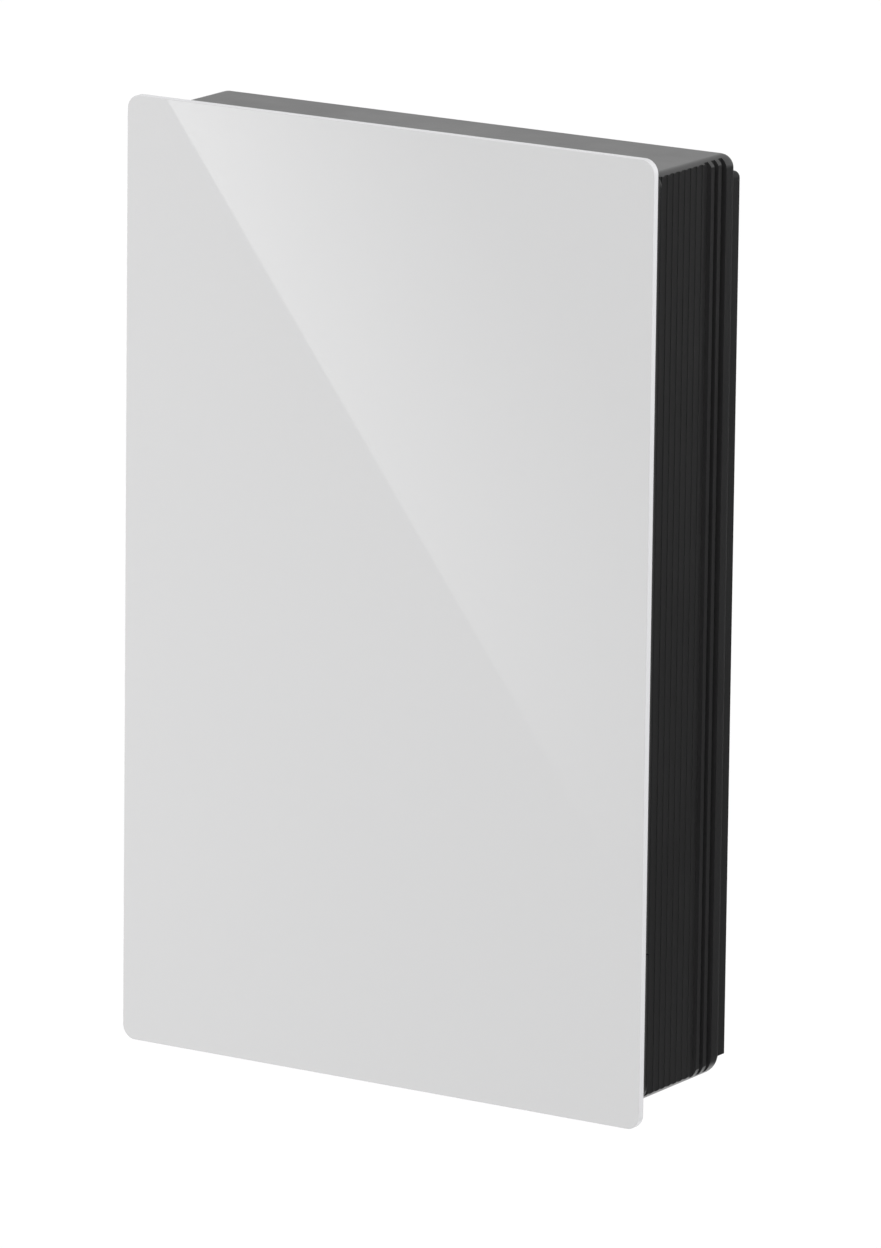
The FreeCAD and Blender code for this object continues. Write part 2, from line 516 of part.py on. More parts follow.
# --- Front panel: glass bonded to a sheet carrier that pulls off ball clips ---
keep(slab((f"-{PANEL_SIDE}", PANEL_SIDE), (PANEL_BACK, PANEL_FRONT), (f"-{PANEL_TOP}", PANEL_TOP),
          "panel_corner", "panel_corner", "panel_edge_round", "panel_edge_round"), "front_panel")
keep(slab((f"carrier_inset - {PANEL_SIDE}", f"{PANEL_SIDE} - carrier_inset"), (CARRIER_BACK, PANEL_BACK),
          (f"carrier_inset - {PANEL_TOP}", f"{PANEL_TOP} - carrier_inset"),
          "panel_corner", "panel_corner"), "panel_carrier")
clip_front = f"({COVER_FRONT} + clip_collar)"
keep(group(fuse(peg(x, (f"{COVER_BACK} - clip_reach", CARRIER_BACK), z, "clip_radius"),
                peg(x, (f"{CARRIER_BACK} - clip_flange", CARRIER_BACK), z, "clip_foot"))
           for x, z in clip_places), "panel_studs")
keep(group(cut(fuse(peg(x, (f"{COVER_BACK} - clip_flange", COVER_FRONT), z, "clip_radius + clip_wall"),
                    peg(x, (COVER_FRONT, clip_front), z, "clip_rim")),
               peg(x, through(f"{COVER_BACK} - clip_flange", clip_front), z, "clip_radius + clip_gap"))
           for x, z in clip_places), "clip_sockets")
keep(group(peg(x, (COVER_FRONT, f"{CARRIER_BACK} - bumper_gap"), z, "bumper_radius")
           for x, z in bumper_places), "panel_bumpers")

# --- Cells: two rows of prismatic cells on a heat-spreading pad, clamped and linked in series ---
cell_step = "(cell_width + cell_gap)"
row_half = f"(({CELLS_IN_ROW} * {cell_step} - cell_gap) / 2)"
stack_x = (f"-{row_half} - end_plate", f"{row_half} + end_plate")
rows_low = [f"(battery_low + {row} * (cell_length + row_gap))" for row in range(ROWS)]
cells, separators, end_plates, clamp_bars, links = [], [], [], [], []
for row_low in rows_low:
    row_top = f"({row_low} + cell_length)"
    lefts = [f"({cell} * {cell_step} - {row_half})" for cell in range(CELLS_IN_ROW)]
    link_z = [(f"{row_low} + link_inset", f"{row_low} + link_inset + link_height"),
              (f"{row_top} - link_inset - link_height", f"{row_top} - link_inset")]
    cells += [box((left, f"{left} + cell_width"), (CELL_BACK, CELL_FRONT), (row_low, row_top))
              for left in lefts]
    separators += [box((f"{left} + cell_width", f"{left} + {cell_step}"),
                       (CELL_BACK, f"{CELL_FRONT} - 2"), (row_low, row_top)) for left in lefts[:-1]]
    links += [box((f"{left} + link_margin", f"{left} + {cell_step} + cell_width - link_margin"),
                  (CELL_FRONT, LINK_FRONT), link_z[cell % 2]) for cell, left in enumerate(lefts[:-1])]
    links += [box((f"{left} + link_margin", f"{left} + cell_width - link_margin"),
                  (CELL_FRONT, LINK_FRONT), link_z[1]) for left in (lefts[0], lefts[-1])]
    end_plates += [box(span, (CELL_BACK, CELL_FRONT), (row_low, row_top))
                   for span in ((stack_x[0], f"-{row_half}"), (row_half, stack_x[1]))]
    clamp_bars += [box(stack_x, (f"{CELL_BACK} + bar_inset", f"{CELL_FRONT} - bar_inset"), bar_z)
                   for bar_z in ((f"{row_low} - bar_sheet", row_low), (row_top, f"{row_top} + bar_sheet"))]
keep(group(cells), "battery_cells")
keep(group(separators), "cell_separators")
keep(group(end_plates), "end_plates")
keep(group(clamp_bars), "clamp_bars")
keep(group(links), "cell_links")
keep(box(stack_x, (FLOOR, CELL_BACK), ("battery_low", BATTERY_TOP)), "thermal_pad")
keep(group(box((f"sense_margin - {row_half}", f"{row_half} - sense_margin"),
               (CELL_FRONT, f"{CELL_FRONT} + sense_sheet"),
               (f"{row_low} + sense_rise", f"{row_low} + sense_rise + sense_height"))
           for row_low in rows_low), "sense_boards")

# --- Fans: two internal fans on a shelf above the cells keep the air in the case moving ---
fan_xs = {"left": "(-fan_across)", "right": "fan_across"}
fan_top = f"({SHELF_TOP} + fan_height)"
rotor_z = (f"({SHELF_TOP} + fan_end_gap)", f"({fan_top} - arm_sheet - fan_end_gap)")
keep(cut(box(room_x, (FLOOR, f"{CELL_FRONT} - shelf_inset"), (SHELF_LOW, SHELF_TOP)),
         *[upright(x, "fan_out", through(SHELF_LOW, SHELF_TOP), "fan_bore - 1")
           for x in fan_xs.values()]), "fan_shelf")
frames = []
for x in fan_xs.values():
    frame = middle_box(x, ("fan_out - fan_size / 2", "fan_out + fan_size / 2"),
                       f"{SHELF_TOP} + fan_height / 2", "fan_size", "fan_height")
    bored = cut(frame, upright(x, "fan_out", through(SHELF_TOP, fan_top), "fan_bore"))
    arm_z = (f"{fan_top} - arm_sheet", fan_top)
    arms = [box((f"{x} - fan_bore - 1", f"{x} + fan_bore + 1"),
                ("fan_out - fan_arm", "fan_out + fan_arm"), arm_z),
            box((f"{x} - fan_arm", f"{x} + fan_arm"),
                ("fan_out - fan_bore - 1", "fan_out + fan_bore + 1"), arm_z)]
    pin = upright(x, "fan_out", (f"{SHELF_TOP} + pin_rise", fan_top), "fan_pin")
    frames.append(fuse(bored, pin, *arms))
keep(group(frames), "fan_frames")
for side, x in fan_xs.items():
    hub = cut(upright(x, "fan_out", rotor_z, "fan_hub"),
              upright(x, "fan_out", through(*rotor_z), "fan_pin + fan_pin_gap"))
    blades = []
    for number in range(FAN_BLADES):
        blade = bind(doc.addObject("Part::Box", "Blade"), Length="fan_bore - fan_tip_gap - fan_hub + 1",
                     Width="blade_sheet", Height=f"({rotor_z[1]}) - ({rotor_z[0]}) - 2")
        bearing = 360 / FAN_BLADES * number
        blade.Placement = Placement(Vector(), Rotation(Vector(0, 0, 1), bearing)
                                    * Rotation(Vector(1, 0, 0), -BLADE_PITCH))
        put(blade, f"{x} + (fan_hub - 1) * {math.cos(math.radians(bearing)):.6f}",
            f"fan_out - (fan_hub - 1) * {math.sin(math.radians(bearing)):.6f}", f"{rotor_z[0]} + 1")
        blades.append(blade)
    keep(fuse(hub, *blades), f"fan_rotor_{side}")

# --- Power stage: boards on posts in the top of the case ---
post_places = [(f"{i} * post_across", z) for i in (-1, 0, 1)
               for z in ("board_low + post_inset", "board_top - post_inset")]
control_posts = [(x, z) for x in ("control_left + control_inset", "control_right - control_inset")
                 for z in ("board_low + control_post_low", "board_top - control_gap - control_inset")]
keep(cut(box(("-board_half", "board_half"), ("board_out", BOARD_FRONT), ("board_low", "board_top")),
         *holes(post_places, through("board_out", BOARD_FRONT))), "power_board")
keep(group(tapped_post(x, (FLOOR, "board_out"), z, "post_radius") for x, z in post_places), "board_posts")
keep(group(screws(post_places, BOARD_FRONT, "board_screw")), "board_screws")
keep(group(middle_box(f"{i} * {across}", (FLOOR, "board_out - module_gap"), "board_low + module_rise",
                      "module_width", "module_height") for i in LEFT_AND_RIGHT
           for across in ("module_near", "module_middle", "module_far")), "power_modules")
keep(group(peg(f"capacitor_left + {i} * capacitor_step", (BOARD_FRONT, f"{BOARD_FRONT} + capacitor_height"),
               f"board_low + {k} * capacitor_rise", "capacitor_radius")
           for i in range(4) for k in (1, 2, 3)), "bus_capacitors")
keep(group(cut(peg(f"choke_left + {i} * choke_step", (BOARD_FRONT, f"{BOARD_FRONT} + choke_height"),
                   "board_low + choke_rise", "choke_radius"),
               peg(f"choke_left + {i} * choke_step", through(BOARD_FRONT, f"{BOARD_FRONT} + choke_height"),
                   "board_low + choke_rise", "choke_bore")) for i in range(3)), "filter_chokes")
keep(group(middle_box(f"relay_left + {i} * relay_step", (BOARD_FRONT, f"{BOARD_FRONT} + relay_depth"),
                      "board_low + relay_rise", "relay_width", "relay_height") for i in range(4)),
     "grid_relays")
keep(group(tapped_post(x, (BOARD_FRONT, "control_out"), z, "control_post_radius")
           for x, z in control_posts), "control_posts")
keep(cut(box(("control_left", "control_right"), ("control_out", CONTROL_FRONT),
             ("board_low + control_rise", "board_top - control_gap")),
         *holes(control_posts, through("control_out", CONTROL_FRONT))), "control_board")
keep(group(screws(control_posts, CONTROL_FRONT, "control_screw")), "control_screws")
keep(group(middle_box(f"plug_left + {i} * plug_step", (CONTROL_FRONT, f"{CONTROL_FRONT} + plug_depth"),
                      "board_low + plug_rise", "plug_width", "plug_height") for i in range(4)),
     "board_sockets")
riser_xs = [f"(riser_left + {i} * riser_step)" for i in range(2)]
keep(group(fuse(peg(x, (BOARD_FRONT, LINK_FRONT), "board_low + riser_rise", "terminal_post"),
                peg(x, (BOARD_FRONT, f"{BOARD_FRONT} + terminal_foot"), "board_low + riser_rise",
                    "terminal_base")) for x in riser_xs), "power_posts")
link_out = (LINK_FRONT, f"{LINK_FRONT} + link_sheet")
keep(group(box((f"{x} - riser_width / 2", f"{x} + riser_width / 2"), link_out,
               (f"{BATTERY_TOP} - link_inset - link_height", "board_low + riser_rise + riser_width / 2"))
           for x in riser_xs), "riser_links")

# --- Wiring room: contactors, fuse, isolator, terminals and bus bars behind the lower cover ---
contactor_xs = [f"(contactor_left + {i} * contactor_step)" for i in range(2)]
keep(group(fuse(middle_box(x, (FLOOR, "contactor_front"), "contactor_up", "contactor_width",
                           "contactor_height"),
                peg(x, ("contactor_front", LINK_FRONT), "contactor_up + contactor_pole", "terminal_post"),
                peg(x, ("contactor_front", "contactor_front + pole_height"),
                    "contactor_up - contactor_pole", "terminal_post")) for x in contactor_xs), "contactors")
keep(group(box((f"{x} - supply_width / 2", f"{x} + supply_width / 2"), link_out,
               ("contactor_up + contactor_pole - supply_width / 2", "battery_low + link_inset + link_height"))
           for x in contactor_xs), "supply_links")
fuse_right = "(fuse_left + fuse_length)"
jaws = [box(span, ("fuse_floor - 1", "fuse_out + fuse_radius"),
            ("fuse_up - fuse_radius", "fuse_up + fuse_radius"))
        for span in (("fuse_left", "fuse_left + fuse_jaw"), (f"{fuse_right} - fuse_jaw", fuse_right))]
keep(fuse(box(("fuse_left", fuse_right), (FLOOR, "fuse_floor"),
              ("fuse_up - fuse_base_height / 2", "fuse_up + fuse_base_height / 2")), *jaws), "fuse_base")
keep(fuse(crossbar(("fuse_left + fuse_jaw + fuse_shoulder", f"{fuse_right} - fuse_jaw - fuse_shoulder"),
                   "fuse_out", "fuse_up", "fuse_radius"),
          crossbar(("fuse_left + fuse_jaw", f"{fuse_right} - fuse_jaw"), "fuse_out", "fuse_up", "fuse_cap")),
     "main_fuse")

ear_outer = "(ear_inner + ear_sheet)"
ears = [box((f"isolator_across + {near}", f"isolator_across + {far}"), ("isolator_front - 1", "ear_front"),
            ("isolator_up - ear_half", "isolator_up + ear_half"))
        for near, far in ((f"(-{ear_outer})", "(-ear_inner)"), ("ear_inner", ear_outer))]
keep(fuse(middle_box("isolator_across", (FLOOR, "isolator_front"), "isolator_up", "isolator_width",
                     "isolator_height"), *ears,
          crossbar((f"isolator_across - {ear_outer}", f"isolator_across + {ear_outer}"), "toggle_out",
                   "isolator_up", "toggle_pin")), "isolator_body")
barrel_half = "(ear_inner - ear_play)"
toggle = fuse(crossbar((f"isolator_across - {barrel_half}", f"isolator_across + {barrel_half}"),
                       "toggle_out", "isolator_up", "toggle_barrel"),
              middle_box("isolator_across", ("toggle_out + 1", "toggle_tip"), "isolator_up",
                         "toggle_width", "toggle_thickness"))
toggle_bore = crossbar(through("isolator_across - ear_inner", "isolator_across + ear_inner"),
                       "toggle_out", "isolator_up", "toggle_pin + fit_gap")
keep(tilt_about_x(cut(toggle, toggle_bore), TOGGLE_OFF, "toggle_out", "isolator_up"), "isolator_toggle")

terminal_z = ("terminal_up - terminal_height / 2", "terminal_up + terminal_height / 2")
fences = [box((f"terminal_left + {i} * terminal_step", f"terminal_left + {i} * terminal_step + fence_sheet"),
              ("terminal_front - 1", "fence_front"), terminal_z) for i in range(TERMINALS + 1)]
keep(fuse(box(("terminal_left", f"terminal_left + {TERMINALS} * terminal_step + fence_sheet"),
              (FLOOR, "terminal_front"), terminal_z), *fences), "grid_terminals")
keep(group(peg(f"terminal_left + fence_sheet / 2 + ({i} + 0.5) * terminal_step",
               ("terminal_front", "terminal_front + terminal_rise"), "terminal_up", "terminal_screw")
           for i in range(TERMINALS)), "terminal_screws")
ground_screws = [("ground_bar_across", f"ground_bar_low + {i} * ground_bar_step") for i in range(5)]
keep(cut(box(("ground_bar_across - ground_bar_width / 2", "ground_bar_across + ground_bar_width / 2"),
             (FLOOR, "ground_bar_front"),
             ("ground_bar_low - ground_bar_end", "ground_bar_low + 4 * ground_bar_step + ground_bar_end")),
         *holes(ground_screws, through("ground_bar_front - ground_bar_screw", "ground_bar_front"))),
     "ground_bar")
keep(group(screws(ground_screws, "ground_bar_front", "ground_bar_screw")), "ground_bar_screws")

# --- Fittings in the bottom wall ---
hub_z = (f"{CASE_LOW} - hub_drop", f"{ROOM_LOW} + nut_height + 2")
nut_z = (ROOM_LOW, f"{ROOM_LOW} + nut_height")
hub = fuse(upright("hub_across", "fittings_out", hub_z, "hub_bore + hub_wall"),
           upright("hub_across", "fittings_out", (hub_z[0], CASE_LOW), "hub_radius"))
keep(cut(hub, upright("hub_across", "fittings_out", through(*hub_z), "hub_bore")), "conduit_hub")
keep(cut(hexagon("hub_across", "fittings_out", nut_z, "hub_nut"),
         upright("hub_across", "fittings_out", through(*nut_z), "hub_bore + hub_wall + fit_gap")), "hub_nut")
gland_z = (f"{CASE_LOW} - gland_drop", f"{ROOM_LOW} + nut_height + 2")
keep(group(cut(fuse(upright(x, "fittings_out", gland_z, "gland_radius"),
                    hexagon(x, "fittings_out", (f"{CASE_LOW} - gland_collar", CASE_LOW), "gland_nut"),
                    upright(x, "fittings_out", (gland_z[0], f"{CASE_LOW} - gland_collar"), "gland_dome")),
               upright(x, "fittings_out", through(*gland_z), "gland_bore")) for x in gland_xs),
     "cable_glands")
keep(group(cut(hexagon(x, "fittings_out", nut_z, "gland_nut"),
               upright(x, "fittings_out", through(*nut_z), "gland_radius + fit_gap"))
           for x in gland_xs), "gland_nuts")
plug_z = (gland_z[0], f"{CASE_LOW} + plug_reach")
keep(group(fuse(upright(x, "fittings_out", plug_z, "gland_bore - fit_gap"),
                upright(x, "fittings_out", (f"{gland_z[0]} - plug_rim", gland_z[0]), "plug_flange"))
           for x in gland_xs), "gland_plugs")
keep(fuse(upright("vent_across", "fittings_out", (CASE_LOW, ROOM_LOW), "vent_neck"),
          upright("vent_across", "fittings_out", (f"{CASE_LOW} - vent_drop", CASE_LOW), "vent_radius")),
     "pressure_vent")
keep(fuse(upright("ground_across", "ground_out", (f"{CASE_LOW} - gland_drop", f"{ROOM_LOW} + 2"),
                  "ground_radius"),
          hexagon("ground_across", "ground_out", (f"{CASE_LOW} - vent_drop", CASE_LOW), "ground_nut")),
     "ground_stud")

# --- Enable rocker and status light on the left side ---
rocker_across = f"(rocker_axis - {CASE_SIDE})"
bezel = fuse(box((f"-{CASE_SIDE} - bezel_sheet", f"-{CASE_SIDE}"),
                 ("switch_out - bezel_half", "switch_out + bezel_half"),
                 ("switch_up - bezel_rise", "switch_up + bezel_rise")),
             box((f"-{CASE_SIDE}", f"neck_length - {ROOM_SIDE}"),
                 ("switch_out - neck_half", "switch_out + neck_half"),
                 ("switch_up - neck_rise", "switch_up + neck_rise")))
well = box((f"-{CASE_SIDE} - bezel_sheet - 1", f"well_depth - {CASE_SIDE}"),
           ("switch_out - well_half", "switch_out + well_half"),
           ("switch_up - well_rise", "switch_up + well_rise"))
pin_ends = ("switch_out - well_half - pin_overlap", "switch_out + well_half + pin_overlap")
keep(fuse(cut(bezel, well), peg(rocker_across, pin_ends, "switch_up", "rocker_pin")), "rocker_bezel")
rocker = cut(box((f"-{CASE_SIDE} - rocker_proud", f"rocker_depth - {CASE_SIDE}"),
                 ("switch_out - well_half + rocker_gap", "switch_out + well_half - rocker_gap"),
                 ("switch_up - rocker_rise", "switch_up + rocker_rise")),
             peg(rocker_across, pin_ends, "switch_up", "rocker_pin + rocker_pin_gap"))
keep(tilt_about_y(rocker, ROCKER_OFF, rocker_across, "switch_up"), "enable_rocker")
lens_back = f"({pad_back} + light_flange_sheet)"
keep(fuse(box((f"-{CASE_SIDE} - light_proud", lens_back),
              ("switch_out - light_half", "switch_out + light_half"),
              (f"{LIGHT_UP} - light_rise", f"{LIGHT_UP} + light_rise")),
          box((pad_back, lens_back), ("switch_out - light_flange", "switch_out + light_flange"),
              (f"{LIGHT_UP} - light_flange_rise", f"{LIGHT_UP} + light_flange_rise"))), "status_light")
keep(box((lens_back, f"{lens_back} + board_sheet"),
         ("switch_out - light_board_half", "switch_out + light_board_half"),
         (f"{LIGHT_UP} - light_board_rise", f"{LIGHT_UP} + light_board_rise")), "light_board")

doc.recompute()
faults = [f"{item.Label}: {item.State}" for item in doc.Objects
          if "Invalid" in item.State or "Error" in item.State]
for piece in kept:
    if piece.Shape.isNull() or not piece.Shape.isValid() or not piece.Shape.Solids:
        faults.append(f"{piece.Label}: no valid solid")
if len({piece.Label for piece in kept}) != len(kept):
    faults.append("two nodes share a name")
if faults:
    raise RuntimeError("; ".join(faults))

os.makedirs("parts", exist_ok=True)
for piece in kept:
    piece.Shape.exportStep(f"parts/{piece.Label}.step")
print(len(kept), "nodes,", sum(len(piece.Shape.Solids) for piece in kept), "solids")
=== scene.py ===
import json
import math

import bmesh
import bpy
from mathutils import Matrix, Vector


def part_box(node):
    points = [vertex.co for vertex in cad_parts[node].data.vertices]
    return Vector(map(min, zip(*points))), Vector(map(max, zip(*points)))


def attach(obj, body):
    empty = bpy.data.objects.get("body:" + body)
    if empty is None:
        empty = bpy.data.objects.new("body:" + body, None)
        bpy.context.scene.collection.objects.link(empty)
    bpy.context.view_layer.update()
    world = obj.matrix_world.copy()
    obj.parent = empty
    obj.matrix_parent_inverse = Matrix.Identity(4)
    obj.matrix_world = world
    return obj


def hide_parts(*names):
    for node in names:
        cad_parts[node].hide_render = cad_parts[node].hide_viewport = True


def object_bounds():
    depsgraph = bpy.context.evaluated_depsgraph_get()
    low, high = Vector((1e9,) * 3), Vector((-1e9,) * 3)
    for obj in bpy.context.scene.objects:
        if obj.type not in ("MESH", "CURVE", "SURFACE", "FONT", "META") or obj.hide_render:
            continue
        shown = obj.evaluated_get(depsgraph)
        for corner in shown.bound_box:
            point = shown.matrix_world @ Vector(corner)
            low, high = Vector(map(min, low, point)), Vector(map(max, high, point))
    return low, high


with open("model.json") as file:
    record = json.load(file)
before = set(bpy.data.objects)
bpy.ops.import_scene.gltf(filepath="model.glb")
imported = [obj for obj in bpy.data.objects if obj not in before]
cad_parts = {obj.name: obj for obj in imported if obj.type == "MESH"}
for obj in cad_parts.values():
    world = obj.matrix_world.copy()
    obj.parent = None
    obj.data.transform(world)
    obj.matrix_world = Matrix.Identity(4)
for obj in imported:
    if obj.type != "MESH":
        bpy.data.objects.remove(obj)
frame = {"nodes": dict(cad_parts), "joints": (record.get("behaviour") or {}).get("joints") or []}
nodes = frame["nodes"]
cad_low, cad_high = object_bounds()

# --- Studio: a pale floor well below the hanging unit, a sky that is brighter near the horizon, a
# large soft key from above, a weaker fill from the left and an edge light from behind the right
# side. A long lens stands far off.
SKY_HORIZON, SKY_TOP = 1.0, 0.76
SKY_START, SKY_CLIMB = -0.05, 0.6
FLOOR_SHADE, FLOOR_DROP, FLOOR_HALF = 0.93, 1.1, 60.0
KEY_POWER, KEY_SPREAD = 1.33, math.radians(60)
KEY_TURN = (math.radians(42), 0, math.radians(25))
FILL_POWER, FILL_PLACE = 9.0, Vector((-1.25, -1.15, 0.1))
EDGE_POWER, EDGE_PLACE = 12.0, Vector((0.75, 1.05, 0.3))
LAMP_SIZE = 0.8
LENS, SENSOR, SIGHT_END = 317.3, 36.0, 300.0
AZIMUTH, ELEVATION, ROLL = (math.radians(angle) for angle in (32.367, 13.077, 0.671))
DISTANCE = 7.367
AIM_RIGHT, AIM_UP = 0.0467, -0.0033

scene = bpy.context.scene
scene.view_settings.view_transform = "Standard"
panel_low, panel_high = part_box("front_panel")
panel_face = Vector((0, panel_low.y, (panel_low.z + panel_high.z) / 2))


class Signal:
    """One output in a node tree. Arithmetic on it writes Math nodes; node() writes any other."""

    def __init__(self, tree, socket=None):
        self.tree = tree
        self.socket = socket

    def node(self, kind, settings=None, output=0, **values):
        made = self.tree.nodes.new("ShaderNode" + kind)
        for name, setting in (settings or {}).items():
            setattr(made, name, setting)
        for name, value in values.items():
            key = int(name[1:]) if name.startswith("_") else name.replace("_", " ")
            if isinstance(value, Signal):
                self.tree.links.new(value.socket, made.inputs[key])
            else:
                made.inputs[key].default_value = value
        return Signal(self.tree, made.outputs[output])

    def math(self, operation, first, second=0.0, third=0.0):
        return self.node("Math", {"operation": operation}, _0=first, _1=second, _2=third)

    def __add__(self, other):
        return self.math("ADD", self, other)

    def __sub__(self, other):
        return self.math("SUBTRACT", self, other)

    def __rsub__(self, other):
        return self.math("SUBTRACT", other, self)

    def __mul__(self, other):
        return self.math("MULTIPLY", self, other)

    def __truediv__(self, other):
        return self.math("DIVIDE", self, other)

    def __pow__(self, other):
        return self.math("POWER", self, other)

    __radd__ = __add__
    __rmul__ = __mul__

    def clamp(self):
        return self.node("Clamp", Value=self)

    def blend(self, low, high):
        """The first colour where this value is 0, the second where it is 1, and a mix between."""
        return self.node("Mix", {"data_type": "RGBA"}, 2, _0=self, _6=low, _7=high)

    def band(self, low, high, soft):
        """1 between two values and 0 outside them, with soft edges."""
        rise = ((self - low) / soft + 0.5).clamp()
        fall = ((high - self) / soft + 0.5).clamp()
        return rise * fall

    def noise(self, place, scale, detail, **more):
        return self.node("TexNoise", Vector=place, Scale=scale, Detail=detail, **more)


def new_finish(name):
    """An empty material and the signal that its nodes are written from."""
    finish = bpy.data.materials.new(name)
    finish.use_nodes = True
    finish.node_tree.nodes.clear()
    return finish, Signal(finish.node_tree)


def link_out(ink, shader):
    out = ink.tree.nodes.new("ShaderNodeOutputMaterial")
    ink.tree.links.new(shader.socket, out.inputs["Surface"])


def surface(ink, **values):
    """The material's one shader, joined to its output."""
    link_out(ink, ink.node("BsdfPrincipled", **values))


def new_piece(name, mesh, finish):
    piece = bpy.data.objects.new(name, mesh)
    scene.collection.objects.link(piece)
    mesh.materials.append(finish)
    return piece


def flat_sheet(name, half_x, half_y, finish):
    mesh = bpy.data.meshes.new(name)
    corners = [(-half_x, -half_y, 0), (half_x, -half_y, 0),
               (half_x, half_y, 0), (-half_x, half_y, 0)]
    mesh.from_pydata(corners, [], [(0, 1, 2, 3)])
    return new_piece(name, mesh, finish)


def direction(turn, rise):
    """A way that is turned from straight towards the viewer to the right, and then up."""
    level = math.cos(rise)
    return Vector((math.sin(turn) * level, -math.cos(turn) * level, math.sin(rise)))


def facing(right, up, out):
    """The turn that takes X, Y and Z to three square ways."""
    return Matrix((right, up, out)).transposed().to_4x4()


world = bpy.data.worlds.new("sky")
scene.world = world
world.use_nodes = True
sky = Signal(world.node_tree)
height = sky.node("SeparateXYZ", {}, "Z", Vector=sky.node("TexCoord", {}, "Generated"))
climb = ((height - SKY_START) / SKY_CLIMB).clamp()
strength = SKY_HORIZON + climb * (SKY_TOP - SKY_HORIZON)
background = world.node_tree.nodes["Background"]
sky.tree.links.new(strength.socket, background.inputs["Strength"])
background.inputs["Color"].default_value = (1, 1, 1, 1)

floor_finish, ink = new_finish("studio_floor")
surface(ink, Base_Color=(FLOOR_SHADE, FLOOR_SHADE, FLOOR_SHADE, 1), Roughness=0.9,
        Specular_IOR_Level=0.1)
floor = flat_sheet("studio_floor", FLOOR_HALF, FLOOR_HALF, floor_finish)
floor.location = (0, 0, panel_low.z - FLOOR_DROP)

key = bpy.data.lights.new("key", "SUN")
key.energy = KEY_POWER
key.angle = KEY_SPREAD
key_lamp = bpy.data.objects.new("key", key)
key_lamp.rotation_euler = KEY_TURN
scene.collection.objects.link(key_lamp)

for title, power, place in (("fill", FILL_POWER, FILL_PLACE),
                            ("edge_light", EDGE_POWER, EDGE_PLACE)):
    square = bpy.data.lights.new(title, "AREA")
    square.energy = power
    square.size = LAMP_SIZE
    lamp = bpy.data.objects.new(title, square)
    lamp.location = place
    lamp.visible_glossy = False
    lamp.rotation_mode = "QUATERNION"
    lamp.rotation_quaternion = (place - panel_face).to_track_quat("Z", "Y")
    scene.collection.objects.link(lamp)

toward_camera = direction(AZIMUTH, ELEVATION)
level_right = Vector((math.cos(AZIMUTH), math.sin(AZIMUTH), 0))
level_up = level_right.cross(-toward_camera)
camera_right = math.cos(ROLL) * level_right + math.sin(ROLL) * level_up
camera_up = math.cos(ROLL) * level_up - math.sin(ROLL) * level_right
lens = bpy.data.cameras.new("camera")
lens.lens = LENS
lens.sensor_width = SENSOR
lens.clip_end = SIGHT_END
camera = bpy.data.objects.new("camera", lens)
scene.collection.objects.link(camera)
pose = facing(camera_right, camera_up, toward_camera)
pose.translation = panel_face + Vector((AIM_RIGHT, 0, AIM_UP)) + toward_camera * DISTANCE
camera.matrix_world = pose
scene.camera = camera

# --- Reflections: a slanting soft box that only gloss shows, brightest along its long edge, and a
# black flag behind the right side, grey at its far end, that keeps the case's side dark. Neither
# lights or hides anything.
BOX_AWAY = 1.6
BOX_GAIN = 2.4
BOX_WIDE, BOX_LONG = 0.2, 1.5
BOX_FADE = 1.3
BOX_DIM_START, BOX_DIM_LONG = 0.45, 0.8
EDGE_LOW = Vector((0.189, -0.220))
EDGE_HIGH = Vector((-0.190, 0.419))
FLAG_AWAY = 1.3
FLAG_WIDE, FLAG_HIGH = 1.7, 0.74
FLAG_TURN, FLAG_DIP = math.radians(32), math.radians(15)
FLAG_GLOW, GLOW_REACH = 0.09, 0.7


def gloss_only(piece):
    for ray in ("camera", "diffuse", "transmission", "volume_scatter", "shadow"):
        setattr(piece, "visible_" + ray, False)


mirror_way = Vector((-toward_camera.x, toward_camera.y, -toward_camera.z))
across = Vector((0, 0, 1)).cross(mirror_way).normalized()
upward = mirror_way.cross(across)
edge_span = EDGE_HIGH - EDGE_LOW
edge_way = (edge_span.x * across + edge_span.y * upward).normalized()
edge_sum = EDGE_LOW + EDGE_HIGH
edge_middle = (panel_face + mirror_way * BOX_AWAY + edge_sum.x / 2 * across
               + edge_sum.y / 2 * upward)
inward = edge_way.cross(mirror_way)
inward = inward if inward.dot(across) > 0 else -inward

box_finish, ink = new_finish("soft_box")
place = ink.node("TexCoord", {}, "Object")
spread = ink.node("SeparateXYZ", {}, "X", Vector=place)
climb = ink.node("SeparateXYZ", {}, "Y", Vector=place)
fade = (0.5 - spread / BOX_WIDE).clamp() ** BOX_FADE
rise = (BOX_DIM_START + climb / BOX_DIM_LONG).clamp()
glow = ink.node("Emission", Color=(1, 1, 1, 1), Strength=BOX_GAIN * fade * rise)
link_out(ink, ink.node("AddShader", _0=ink.node("BsdfTransparent"), _1=glow))
soft_box = flat_sheet("soft_box", BOX_WIDE / 2, BOX_LONG / 2, box_finish)
turn = facing(inward, edge_way, inward.cross(edge_way))
turn.translation = edge_middle + inward * BOX_WIDE / 2
soft_box.matrix_world = turn
gloss_only(soft_box)

flag_finish, ink = new_finish("black_flag")
spread = ink.node("SeparateXYZ", {}, "X", Vector=ink.node("TexCoord", {}, "Object"))
glow = FLAG_GLOW * (spread / GLOW_REACH).clamp()
link_out(ink, ink.node("Emission", Color=(1, 1, 1, 1), Strength=glow))
flag = flat_sheet("black_flag", FLAG_WIDE, FLAG_HIGH, flag_finish)
flag_way = direction(math.pi - FLAG_TURN, -FLAG_DIP)
flag.rotation_mode = "QUATERNION"
flag.rotation_quaternion = flag_way.to_track_quat("Z", "Y")
flag.location = flag_way * FLAG_AWAY + Vector((cad_high.x, 0, 0))
gloss_only(flag)

